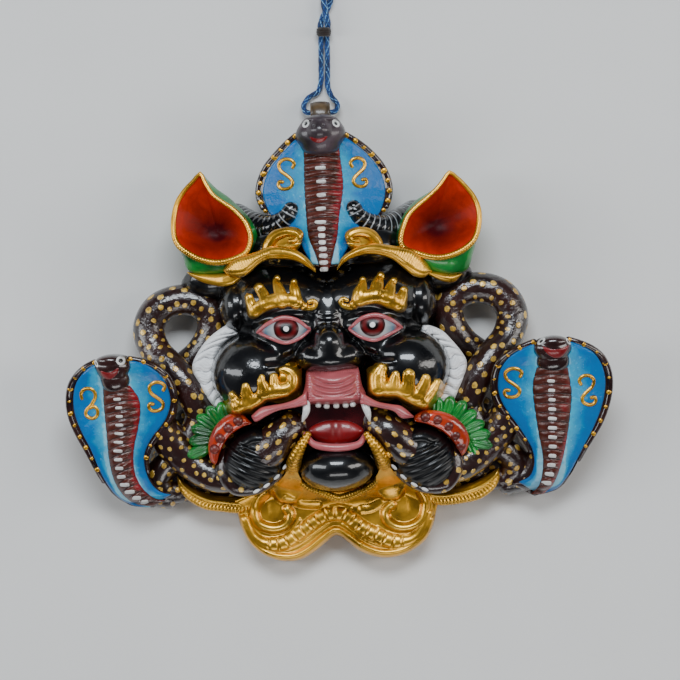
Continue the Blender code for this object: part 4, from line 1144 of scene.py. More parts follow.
def hook(path):
    """Thick ridge that curls in on itself, with fine lines along it."""
    line = even(path, 30)
    z = band_level(line[:, 0]) - 2.2
    return tube(np.column_stack([line, z]), [2.4, 2.9, 2.9, 2.7, 2.5, 2.2, 1.8, 1.4], 0.6, 40, 0.95,
                lambda s, a: -0.13 * np.abs(np.cos(4.5 * a)) ** 6)


def lower_band_front(x, y, inward, u, v):
    """Rim under the ear, lower towards the outside."""
    side = np.abs(x - AXIS)
    z = np.interp(side, [43, 52, 60, 70], [33, 31, 28, 24])
    return z + 2.4 * swell(inward, 2.4)


class MASK_OT_band(bpy.types.Operator):
    """Gold band over the forehead with its curls, and the rims under the ears"""
    bl_idname = "mask.band"
    bl_label = "Forehead band"

    def execute(self, context):
        gold = paints(context).gold
        front = band_front(context.scene.mask_sizes.gold_rib / MM)
        piece("forehead_band", leaves((LEFT_BAND, RIGHT_BAND), front, 5.0, (200, 24)), gold)
        piece("band_curls", leaves((LEFT_BAND_CURL, RIGHT_BAND_CURL), curl_front, 5.0, (64, 28))
              + [hook(LEFT_HOOK), hook(RIGHT_HOOK)], gold)
        piece("ear_bands", leaves((LEFT_LOWER_BAND, RIGHT_LOWER_BAND), lower_band_front, 4.0, (60, 18)), gold)
        return {"FINISHED"}


# Ears and horns

LEFT_EAR = [(-62, 84), (-66, 80), (-70, 76), (-74, 70), (-76, 63), (-76.5, 57), (-76, 52), (-74, 48),
            (-70, 44.5), (-65, 41.5), (-60, 39.8), (-55, 39), (-50, 39.5), (-45, 41), (-41, 43), (-39, 46),
            (-38, 50), (-38.5, 54), (-40, 58), (-43, 62), (-47, 66), (-52, 69.5), (-56, 73), (-58.5, 77),
            (-60.5, 81)]
LEFT_EAR_BACK = [(-61.6, 84.4), (-66, 79.6), (-70, 75), (-73.6, 69), (-75.4, 62), (-75.6, 55), (-74.6, 48),
                 (-72.4, 42), (-70, 36), (-62, 33.4), (-52, 33.2), (-44, 37), (-38, 43), (-34.6, 51),
                 (-37.8, 60), (-47, 70.4), (-54, 76), (-58.6, 81)]
RIGHT_EAR = [(62.6, 79.4), (65.7, 77.0), (68.2, 74.6), (71.2, 71.0), (73.9, 67.2), (75.9, 62.5), (76.6, 57.7),
             (76.0, 51.9), (74.2, 46.5), (71.2, 42.8), (66.3, 39.6), (60.4, 37.5), (54.7, 36.9), (49.0, 37.9),
             (43.3, 39.9), (39.2, 41.6), (36.9, 44.5), (37.0, 48.8), (38.9, 54.5), (41.4, 59.1), (46.2, 63.5),
             (51.2, 67.3), (56.1, 71.7), (59.4, 75.6)]
RIGHT_EAR_BACK = [(62.4, 79.8), (67.0, 75.4), (71.0, 70.4), (74.0, 65.0), (75.6, 58.0), (75.6, 50.0),
                  (74.6, 44.0), (72.8, 38.5), (70.0, 31.0), (64.0, 28.6), (56.0, 29.2), (49.0, 31.6),
                  (41.0, 36.5), (35.0, 41.5), (34.2, 46.5), (36.2, 53.6), (39.3, 60.0), (44.2, 65.4),
                  (50.2, 69.0), (56.0, 72.6)]
LEFT_EAR_DEEP = (-54.5, 53.5)
RIGHT_EAR_DEEP = (55.0, 53.0)


def ear_rim_height(x, y):
    """The rim of an ear leans: highest low down by the head, lowest at the outer edge and the tip."""
    return 34.0 - 0.16 * (np.abs(x) - 56) - 0.14 * (y - 54)


def ear_bowl(outline, deep):
    """Inside of an ear, a bowl whose map runs from 0 at the bottom to 1 at the rim."""
    made = disc(outline, deep, lambda x, y, inward, share:
                ear_rim_height(x, y) - 12.0 * (1 - share ** 1.7), 1.2, (40, 100))
    edge = even(outline, 141, closed=True)

    def outwards(x, y):
        from_deep = np.hypot(x - deep[0], y - deep[1])
        return from_deep / (from_deep + nearest(x, y, edge)[0] + 0.5), y
    return remap(made, outwards)


def ear_back(outline, back, deep):
    """Outside of an ear: rings from under the bowl out to the rim, round the cup and in to its root."""
    count = 101
    rim, cup = even(outline, count, closed=True)[:-1], even(back, count, closed=True)[:-1]
    deep = stay(deep)
    levels = [(rim, 0.10, 14.6), (rim, 0.5, 13.0), (rim, 0.80, 8.5), (rim, 0.95, 3.0), (rim, 1.0, 0.9),
              (0.65 * rim + 0.35 * cup, 1.0, 2.0), (0.3 * rim + 0.7 * cup, 1.0, 4.6), (cup, 1.0, 8.0),
              (cup, 0.98, 11.5), (cup, 0.9, 15.0), (cup, 0.7, 18.5), (cup, 0.4, 21.0), (cup, 0.05, 22.0)]
    rings = []
    for edge, share, drop in levels:
        flat = deep + share * (edge - deep)
        rings.append(np.column_stack([flat, ear_rim_height(flat[:, 0], flat[:, 1]) - drop]))
    smooth = np.stack([spline(np.array(rings)[:, k], 3) for k in range(count - 1)], axis=1)
    return skin(smooth)


EAR_RIM_RADII = [0.9, 1.2, 1.4, 1.6, 1.6, 1.5, 1.3, 1.1, 0.9]


def ear_rim(outline, pitch):
    """Gold bead round an ear, ribbed across along its lower side."""
    line = even(outline, 60, closed=True)
    z = ear_rim_height(line[:, 0], line[:, 1]) + 0.1
    size = travel(line)[-1]
    rings = ribs(pitch, 0.16)

    def carve(s, a):
        return rings(s, a) * step_up(0.5 - np.abs(s / size - 0.5), 0.2, 0.3)
    return tube(np.column_stack([line, z]), EAR_RIM_RADII, 0.35, 12, 0.8, carve)


LEFT_HORN = [(-46, 57, 12), (-38, 55.4, 19), (-30, 55.0, 25), (-24.5, 57, 28.5), (-19.6, 60.6, 31),
             (-17.4, 64, 31.5)]
RIGHT_HORN = [(45, 55.0, 12), (37, 53.4, 19), (29, 52.6, 25), (22.5, 54.6, 28.5), (16.6, 58.8, 31),
              (14, 63.6, 31.5)]


class MASK_OT_ears(bpy.types.Operator):
    """Red ears with gold rims and green backs, and the ringed horns behind them"""
    bl_idname = "mask.ears"
    bl_label = "Ears and horns"

    def execute(self, context):
        kit, sizes = paints(context), context.scene.mask_sizes
        left, right = (LEFT_EAR, LEFT_EAR_BACK, LEFT_EAR_DEEP), (RIGHT_EAR, RIGHT_EAR_BACK, RIGHT_EAR_DEEP)
        piece("ear_bowls", [ear_bowl(outline, deep) for outline, _, deep in (left, right)], kit.ear)
        piece("ear_backs", [ear_back(*ear) for ear in (left, right)], kit.green, floor=1.0)
        rims = [ear_rim(outline, sizes.gold_rib / MM) for outline in (LEFT_EAR, RIGHT_EAR)]
        piece("ear_rims", rims, kit.gold)
        rings = ribs(sizes.horn_rib / MM, 0.22, 2.5)
        piece("horns", [tube(path, [12, 10, 8.2, 6.6, 5.0, 4.0], 0.4, 40, carve=rings)
                        for path in (LEFT_HORN, RIGHT_HORN)], kit.horn, floor=1.0)
        return {"FINISHED"}


# White ruffs

LEFT_RUFF = ([(-49.5, 8.0), (-52.4, 7.6), (-59.4, 3.1), (-64.9, -2.4), (-69.4, -9.6), (-70.0, -14.9),
             (-67.4, -20.3), (-65.0, -25.6), (-61.2, -31.6), (-57.0, -36.0)], [(-49.5, 7.6), (-46.6, 3.2),
             (-51.3, 0.4), (-56.2, -5.2), (-58.0, -12.2), (-57.3, -19.6), (-55.2, -26.0), (-52.9, -34.0),
             (-57.0, -36.4)])
RIGHT_RUFF = ([(46.0, 3.6), (50.0, 3.2), (56.0, 0.2), (60.8, -5.0), (65.2, -10.8), (67.4, -15.6),
              (66.4, -21.6), (63.2, -28.8), (60.2, -34.6), (56.6, -36.8)], [(45.0, 1.0), (46.2, -1.5),
              (51.3, -4.7), (56.3, -11.8), (57.6, -18.1), (55.7, -25.4), (52.3, -31.6), (50.6, -34.4),
              (53.0, -36.6), (56.6, -37.0)])


def ruff_front(x, y, inward, u, v):
    """Carved locks: broad slanting waves with fine strands that curl as they run outwards."""
    phase = u * 10.0 + 1.1 * v + 0.22 * np.sin(2 * np.pi * (v + 2 * u))
    lock = np.abs(np.sin(np.pi * phase)) ** 0.55
    hair = 0.18 * np.sin(2 * np.pi * (4 * phase + 0.5 * np.sin(7 * v)))
    return 24.5 + (3.6 + 2.2 * lock + hair) * swell(inward, 2.6)


class MASK_OT_ruffs(bpy.types.Operator):
    """Carved white ruffs beside the cheeks"""
    bl_idname = "mask.ruffs"
    bl_label = "Ruffs"

    def execute(self, context):
        piece("ruffs", leaves((LEFT_RUFF, RIGHT_RUFF), ruff_front, 10.0, (190, 34)), paints(context).ruff)
        return {"FINISHED"}


# Hands

LEFT_FIST = [(-43.4, -43.2), (-35.0, -43.5), (-28.5, -49.0), (-24.6, -56.5), (-24.7, -62.5), (-30.9, -70.6),
             (-41.6, -75.6), (-51.0, -73.0), (-56.6, -64.5), (-55.2, -53.4), (-50.5, -46.5)]
NAILS = [(-25.5, -64.1), (-30.0, -69.2), (-35.2, -73.2), (-40.4, -75.8)]
NAIL_HEIGHT = 36.4
FINGER_SLOPE = 24     # degrees
FINGER_WIDTH = 3.7
FIST_GROUND = [(-43.4, -41.0), (-34.0, -41.5), (-25.5, -47.0), (-21.5, -55.5), (-22.8, -63.5), (-28.4, -70.8),
               (-34.6, -75.6), (-41.6, -78.2), (-53.0, -77.0), (-60.0, -67.0), (-58.2, -53.4), (-52.5, -44.5)]
RIGHT_FIST_AXIS, RIGHT_FIST_DROP = 1.6, 2.6


def fist_height(x, y):
    """Left fist: a ball, with bent fingers side by side over its lower part and a thumb across the top."""
    z = melt([dome(x, y, (-41.2, -60.2, 27.5), (16.8, 16.0, 17.5)),
              dome(x, y, (-38.5, -50.5, 28), (12, 8.5, 15))], BLEND)
    across = turned(x + 41, y + 60, FINGER_SLOPE)[1] - 0.012 * (x + 41) ** 2
    finger = np.abs(np.sin(np.pi * (across - 0.4) / FINGER_WIDTH)) ** 0.9
    lower = 1 - step_up(across, 3.6, 6.6)
    thumb = ridge(x, y, [(-47.5, -50.5), (-40.5, -48.5), (-33.0, -50.0), (-27.5, -55.0)], 3.6, 1.9, 0.7)
    return z + (finger - 1) * lower + thumb


def sleeve_height(x, y, inward, share):
    """Brown ground that shows round a fist."""
    return 29.0 + 4.5 * swell(inward, 5.0)


def fist(turn, back):
    """Fist on its outline; turn carries points from the left hand's place, and back brings them there."""
    def front(x, y, inward, share):
        at = back(np.stack([x, y], axis=-1))
        return fist_height(at[..., 0], at[..., 1]) - 3.0 + 3.0 * swell(inward, 2.5)
    return disc(turn(LEFT_FIST), turn([(-41.5, -59.5)])[0], front, 16.0, (80, 176))


def nails(turn):
    """White finger nails, just outside the ends of the fingers."""
    return [disc(turn(ellipse(at, (1.95, 0.85), 46 - 7 * k)), turn([at])[0], lambda x, y, inward, share:
                 NAIL_HEIGHT + 0.9 * swell(inward, 0.8), 4.0, (8, 24)) for k, at in enumerate(NAILS)]


LEFT_CUFF = ([(-41.2, -41.6), (-42.8, -40.0), (-45.3, -37.5), (-50.5, -36.4), (-55.9, -38.8), (-60.9, -44.4),
              (-63.6, -52.0), (-62.8, -59.6), (-60.6, -62.0)],
             [(-41.2, -41.9), (-42.8, -42.5), (-47.7, -44.4), (-53.1, -48.4), (-57.6, -55.4), (-59.2, -60.1),
              (-60.6, -62.2)])
RIGHT_CUFF = ([(39.6, -43.0), (40.4, -41.0), (44.2, -39.0), (50.5, -39.2), (57.8, -41.5), (64.1, -46.8),
               (67.0, -54.3), (65.2, -60.2), (63.0, -62.6)],
              [(39.6, -43.4), (40.8, -44.5), (47.0, -46.3), (53.2, -49.7), (58.2, -54.7), (61.4, -60.1),
               (63.0, -62.8)])
LEFT_DOMES = [(-48.0, -40.3), (-52.9, -43.6), (-57.3, -48.6), (-60.3, -53.9)]
RIGHT_DOMES = [(45.3, -42.3), (51.1, -43.8), (56.5, -47.2), (59.8, -51.9), (62.4, -57.3)]
LEFT_FRILL = [(-55.6, -35.4, 105), (-60.4, -36.8, 125), (-64.6, -39.8, 145), (-67.0, -44.2, 165),
              (-68.2, -49.4, 185), (-69.6, -55.4, 200)]
RIGHT_FRILL = [(51.6, -37.2, 85), (57.4, -37.2, 72), (62.8, -39.2, 55), (66.8, -43.4, 35), (70.2, -48.0, 20),
               (73.0, -52.6, 5), (74.0, -57.0, -15), (68.4, -58.6, -70)]


def cuff_front(x, y, inward, u, v):
    """Cuff: half-round, lower towards the wrist's outside, with a bead along its inner edge."""
    z = np.interp(u, [0, 0.25, 0.5, 0.75, 1], [41, 41, 39, 35.5, 31])
    return z + 3.6 * swell(inward, 3.6) + 0.6 * np.exp(-((v - 0.93) / 0.05) ** 2)


def frill_lobe(x, y, turn, z):
    """Leaf of the frill, pointing outwards, with grooves along it."""
    def front(px, py, inward, share):
        across = turned(px - x, py - y, -turn)[1]
        return z + (3.0 + 0.34 * np.cos(2 * np.pi * across / 2.1)) * swell(inward, 2.2)
    dx, dy = turned(1.2, 0, turn)
    centre = (x - dx, y - dy)
    return disc(ellipse(centre, (6.3, 3.5), turn), centre, front, 6.0, (18, 40))


class MASK_OT_hands(bpy.types.Operator):
    """Black fists with white nails, orange cuffs with domes, and green frills"""
    bl_idname = "mask.hands"
    bl_label = "Hands"

    def execute(self, context):
        kit = paints(context)

        def over(points):
            return flipped(points, RIGHT_FIST_AXIS, RIGHT_FIST_DROP)

        def back(points):
            return flipped(points, RIGHT_FIST_AXIS, -RIGHT_FIST_DROP)

        piece("fists", [fist(stay, stay), fist(over, back)], kit.hand)
        grounds = [disc(turn(FIST_GROUND), turn([(-40.5, -61.0)])[0], sleeve_height, 12.0, (24, 84))
                   for turn in (stay, over)]
        piece("fist_ground", grounds, kit.snake)
        piece("nails", nails(stay) + nails(over), kit.white)
        piece("cuffs", leaves((LEFT_CUFF, RIGHT_CUFF), cuff_front, 8.0, (90, 26)), kit.orange)
        domes = [blob((x, y, 44.0 - 0.5 * k - 0.35 * k ** 2), (2.6, 2.6, 1.8), grid=(10, 18))
                 for side in (LEFT_DOMES, RIGHT_DOMES) for k, (x, y) in enumerate(side)]
        piece("cuff_domes", domes, kit.rust)
        piece("frills", [frill_lobe(x, y, turn, 31.5 - 0.9 * k) for side in (LEFT_FRILL, RIGHT_FRILL)
                         for k, (x, y, turn) in enumerate(side)], kit.green)
        return {"FINISHED"}


# Snake bodies

MOUTH_SNAKE = [(22.5, -44.5, 36), (27, -49, 38), (34, -55.5, 36), (42, -62, 30), (52, -67.5, 24),
               (62, -67, 21), (73, -60, 19), (82, -50, 20), (88, -40, 22)]
CLOSER_DOTS = 1.18   # how much closer the dots stand on the snakes in the mouth
MOUTH_SNAKE_RADII = [8.5, 9.5, 10, 9, 8.5, 8.5, 9, 9.5, 8]
LOWER_COIL = [(66, -34, 20), (69, -44, 18), (77, -54, 15), (86, -61, 13), (90, -68, 11), (86, -74.5, 9),
              (80, -75, 8)]
LOOP = [(84, -24, 8), (77, -14, 8), (67, -6, 10), (60.5, 3, 12), (59.5, 12, 13), (65, 19, 13), (75, 21.3, 13),
        (86, 17.5, 13), (91.5, 7.5, 13), (88.5, -4, 15), (80, -13.5, 20), (72.5, -23.5, 22), (67, -34, 21)]
LOOP_RADII = [7, 7, 7.2, 7.6, 7.8, 7.8, 7.8, 8, 8, 8, 8, 8, 8]
BACKING = [(44, -26), (60, -28), (74, -32), (84, -40), (91, -52), (94, -64), (88, -76), (74, -81), (58, -82),
           (44, -80), (30, -70)]
HOOD_NECK = [(111, -14, 28), (109.5, -30, 25), (108, -46, 21), (105, -62, 15), (97, -73, 10), (86, -77, 8)]
CREST_SPINE = [(-1, 40, 26), (-1, 60, 19), (-1, 80, 16), (-0.8, 92, 14.5), (-0.7, 99, 12)]


def backing_height(x, y, inward, share):
    """Low ground behind the coils, gently uneven."""
    return 2.0 + 9.5 * swell(inward, 9.0) + 0.8 * np.sin(x * 0.35) * np.cos(y * 0.3)


class MASK_OT_snakes(bpy.types.Operator):
    """Dotted bodies of the snakes: loops, coils, the ends in the mouth and the ground behind them"""
    bl_idname = "mask.snakes"
    bl_label = "Snake bodies"

    def execute(self, context):
        snake = paints(context).snake
        loops, coils, grounds, necks = [], [], [], []
        for turn in (stay, flipped):
            loops.append(tube(turn(LOOP), LOOP_RADII, 1.2, 36))
            front = tube(turn(MOUTH_SNAKE), MOUTH_SNAKE_RADII, 1.2, 36)
            coils.append(remap(front, lambda x, y: (CLOSER_DOTS * x, CLOSER_DOTS * y)))
            coils.append(tube(turn(LOWER_COIL), [8, 8, 8, 8, 7.5, 7, 6], 1.2, 34))
            grounds.append(disc(turn(BACKING), turn([(66, -58)])[0], backing_height, 3.0, (36, 90)))
            necks.append(tube(turn(HOOD_NECK), [7, 8, 8, 8, 7.5, 6.5], 1.6, 28))
        necks.append(tube(CREST_SPINE, [9, 9, 8, 7, 6], 1.6, 28))
        piece("snake_loops", loops, snake, floor=0.4)
        piece("snake_coils", coils, snake, floor=0.6)
        piece("snake_ground", grounds, snake, floor=0.8)
        piece("snake_necks", necks, snake, floor=0.5)
        return {"FINISHED"}


# Gold beard, base and wings

LEFT_TUSK = [(-13.6, -48.6, 46.5), (-17.4, -54.4, 46), (-20.4, -60.2, 42), (-22.0, -65.5, 33),
             (-22.5, -69, 22), (-22.7, -71, 12)]
RIGHT_TUSK = [(15.8, -49.8, 46.5), (19.6, -55.4, 46), (22.4, -61, 41.5), (23.8, -66, 32.6), (24.3, -69.5, 22),
              (24.5, -71.5, 12)]
TUSK_RADII = [1.9, 3.1, 3.9, 3.6, 2.8, 2.2]
LEFT_FOOT = [(-20.8, -60.5, 40.5), (-21.7, -64.5, 37.4), (-22.7, -68.5, 31.4), (-23.8, -72, 24.4),
             (-24.8, -75.5, 15)]
RIGHT_FOOT = [(22.4, -61.3, 40.1), (23.4, -65.2, 37.0), (24.4, -69.1, 31.0), (25.6, -72.6, 24.0),
              (26.6, -76, 15)]
FOOT_RADII = [3.0, 4.2, 5.4, 6.6, 7.4]
COLLAR = [(-21.5, -68.5, 28), (-18.8, -71.6, 27), (-14.2, -75.3, 26), (-8.0, -77.9, 25), (0.3, -81.3, 24),
          (8.8, -79.4, 25), (17.4, -75.4, 26), (22.0, -70.5, 28)]
COLLAR_RADII = [1.6, 2.0, 2.2, 2.2, 2.4, 2.2, 2.0, 1.6]
BASE_UPPER = [(-52, -80.5), (-46, -78.5), (-38, -75.4), (-31.5, -73.0), (-27.6, -70.0), (-24.8, -66.6),
              (-22.4, -64.8), (-19.8, -66.8), (-17.6, -71.0), (-12, -73.8), (0, -77), (12, -74.2),
              (19.0, -71.4), (21.6, -67.4), (24.2, -65.4), (27.0, -67.2), (29.8, -70.8), (33.5, -73.6),
              (38, -76.5), (45, -80), (51.5, -81.5)]
BASE_LOWER = [(-52, -81.5), (-50.8, -86.5), (-49.3, -93.7), (-45.8, -101.2), (-40.3, -107.2), (-34.0, -110.7),
              (-26.9, -112.4), (-19.7, -111.6), (-13.1, -108.1), (-7.1, -103.7), (-1.6, -100.2),
              (3.7, -103.5), (9.2, -108.1), (16.3, -111.4), (23.4, -112.6), (32.1, -111.3), (39.4, -107.6),
              (44.6, -102.7), (47.9, -95.6), (49.4, -89.2), (51.5, -83)]
SPIRALS = [ ([(-36.4, -78.0), (-39.2, -80.5), (-41.7, -85.0), (-42.0, -88.4), (-40.4, -92.4), (-36.5, -94.8),
           (-31.9, -95.5), (-27.5, -94.3), (-24.8, -91.3), (-24.2, -88.0), (-25.6, -86.0)], 2.8, 2.3, 1.0),
           ([(-35.9, -78.6), (-39.3, -82.3), (-40.3, -87.2), (-38.9, -91.6), (-35.4, -93.4), (-31.1, -93.6),
           (-27.9, -92.1), (-26.2, -89.7)], 0.8, 0.5, 1.0), ([(41.8, -80.5), (43.8, -85.0), (43.6, -89.0),
           (42.2, -93.2), (38.6, -96.4), (33.4, -97.8), (28.4, -97.0), (24.6, -94.2), (23.4, -90.6),
           (24.6, -87.4), (27.0, -86.0)], 2.7, 2.3, 1.0), ([(41.4, -82.4), (42.2, -87.5), (40.8, -91.8),
           (38.0, -94.6), (33.4, -96.0), (29.1, -95.4), (26.2, -93.0)], 0.8, 0.5, 1.0), ([(-46.2, -84.5),
           (-45.9, -91.0), (-43.8, -95.6), (-40.0, -99.1), (-35.7, -100.7), (-30.7, -100.4), (-25.6, -98.6),
           (-21.8, -94.8), (-19.4, -91.7)], 0.9, 0.8, 1.0), ([(46.6, -86.0), (46.2, -92.0), (43.6, -97.2),
           (39.2, -100.6), (34.0, -101.6), (28.8, -101.4), (23.1, -99.8), (19.3, -97.2)], 0.9, 0.8, 1.0),
           ([(-47.9, -93.4), (-45.0, -101.4), (-39.7, -106.6), (-33.9, -109.2), (-27.2, -110.4),
           (-20.8, -109.4), (-14.2, -105.8), (-8.0, -101.2), (-1.6, -97.8), (4.4, -101.4), (10.2, -105.8),
           (16.9, -109.0), (23.6, -110.4), (31.8, -109.3), (38.6, -105.8), (43.6, -100.8), (46.7, -94.4)],
           2.4, 2.1, 0.9), ([(-46.2, -93.2), (-43.6, -99.6), (-39.0, -104.0), (-33.6, -106.2),
           (-27.4, -106.2), (-21.8, -104.4), (-16.0, -101.2), (-10.6, -97.4), (-5.4, -94.0)], 0.8, 0.6, 1.0),
           ([(2.0, -94.6), (7.4, -99.0), (13.6, -103.0), (19.8, -105.6), (27.1, -107.2), (34.6, -106.6),
           (40.6, -103.0), (44.6, -97.0)], 0.8, 0.6, 1.0), ([(-32.2, -82.0), (-32.0, -87.0)], 3.8, 0.6, 1.5),
           ([(32.2, -84.0), (32.6, -89.0)], 3.8, 0.6, 1.5), ([(-4.2, -86.1), (0.8, -85.5), (6.1, -87.0)],
           1.3, 0.9, 0.8), ([(-25.9, -80.7), (-17.8, -84.0), (-9.9, -84.6)], 2.2, 1.0, 0.9), ([(22.8, -84.2),
           (16.4, -87.4), (12.0, -87.8)], 2.4, 1.1, 0.9), ]
MIDDLE_BEADS = [(-47.7, -90.9), (-44.9, -97.8), (-40.4, -101.9), (-35.8, -103.6), (-29.7, -103.3),
                (-24.6, -101.4), (-19.5, -98.2), (-14.7, -94.8), (-10.2, -91.7), (-6.5, -89.9), (-2.2, -89.2),
                (2.8, -90.0), (7.0, -93.2), (10.4, -96.1), (14.6, -98.9), (19.2, -101.2), (24.1, -103.6),
                (28.8, -104.7), (35.2, -104.5), (39.8, -101.7), (43.4, -96.9), (44.7, -91.2)]
BEAD_PITCH = 4.7
LEFT_WING = ([(-80.3, -66.8), (-74.6, -71.6), (-68.3, -75.4), (-61.7, -77.6), (-53.4, -78.6), (-45.0, -79.4)],
             [(-80.3, -67.4), (-79.4, -74.0), (-74.8, -79.8), (-67.2, -84.4), (-59.9, -85.8), (-50.5, -87.2),
              (-45.0, -86.0)])
RIGHT_WING = ([(81.6, -69.6), (76.4, -72.6), (70.4, -75.4), (62.6, -77.9), (53.0, -79.4), (45.0, -78.9)],
              [(81.6, -70.2), (81.6, -75.4), (78.3, -80.5), (71.8, -84.9), (63.3, -86.7), (52.7, -87.5),
               (45.0, -86.0)])


def base_front(x, y, inward, u, v):
    """Scrolled base: a cushion that climbs towards the chin and up the feet of the tusks, with ribbons,
    spirals and a row of beads."""
    climb = 15.0 * step_up(y, -88 + 6.5 * np.exp(-((np.abs(x) - 31) / 10) ** 2), -68)
    feet = [bar(x, y, path, FOOT_RADII, 0.6) for path in (LEFT_FOOT, RIGHT_FOOT)]
    z = melt([10.5 + climb + 3.5 * swell(inward, 5.0)] + feet, 0.38)
    relief = [ridge(x, y, path, width, height, soft) for path, width, height, soft in SPIRALS]
    beads = ridge(x, y, MIDDLE_BEADS, 3.8, 2.3, 0.6, BEAD_PITCH, 0.42)
    plain = ridge(x, y, MIDDLE_BEADS, 3.2, 2.0, 0.7)
    strung = plain + (beads - plain) * (1 - step_up(np.abs(x + 2.0), 31, 37))
    return z + np.max(relief + [strung], axis=0) * swell(inward, 1.5)


def wing_front(pitch):
    """Side leaf: a plain band above, fine ribs across the lower half."""
    def front(x, y, inward, u, v):
        z = np.interp(np.abs(x), [45, 60, 72, 81], [12.5, 12.5, 13.5, 15.0])
        rib = 0.24 * np.sin(2 * np.pi * (u * 34.0 / pitch + 0.8 * v)) * step_up(v, 0.46, 0.62)
        crest = 1.1 * np.exp(-((v - 0.40) / 0.12) ** 2)
        return z + 2.6 * swell(inward, 2.6) + (rib + crest) * swell(inward, 1.4)
    return front


class MASK_OT_gilding(bpy.types.Operator):
    """Gold tusks beside the chin, collar, scrolled base and side leaves"""
    bl_idname = "mask.gilding"
    bl_label = "Beard and base"

    def execute(self, context):
        gold, sizes = paints(context).gold, context.scene.mask_sizes
        pitch = sizes.gold_rib / MM
        rings = ribs(sizes.tusk_rib / MM, 0.36)
        tusks = [tube(path, TUSK_RADII, 0.35, 28, carve=lambda s, a: rings(s, a) * step_up(29.0 - s, 0, 7))
                 for path in (LEFT_TUSK, RIGHT_TUSK)]
        piece("tusks", tusks + [blob((26.0, -60.0, 40.0), (2.2, 1.9, 3.4), -30)], gold)
        piece("collar", [tube(COLLAR, COLLAR_RADII, 0.35, 18, carve=ribs(pitch, 0.35))], gold)
        piece("base", [leaf(BASE_UPPER, BASE_LOWER, base_front, 42.0, (330, 106))], gold, floor=0.2)
        piece("side_leaves", leaves((LEFT_WING, RIGHT_WING), wing_front(pitch), 14.0, (160, 30)), gold,
              floor=0.3)
        return {"FINISHED"}


# Cobras

HALF_BELLY = 7.0    # half a belly's width
BARE_RIM = 2.0      # width of the rim round a hood's panels


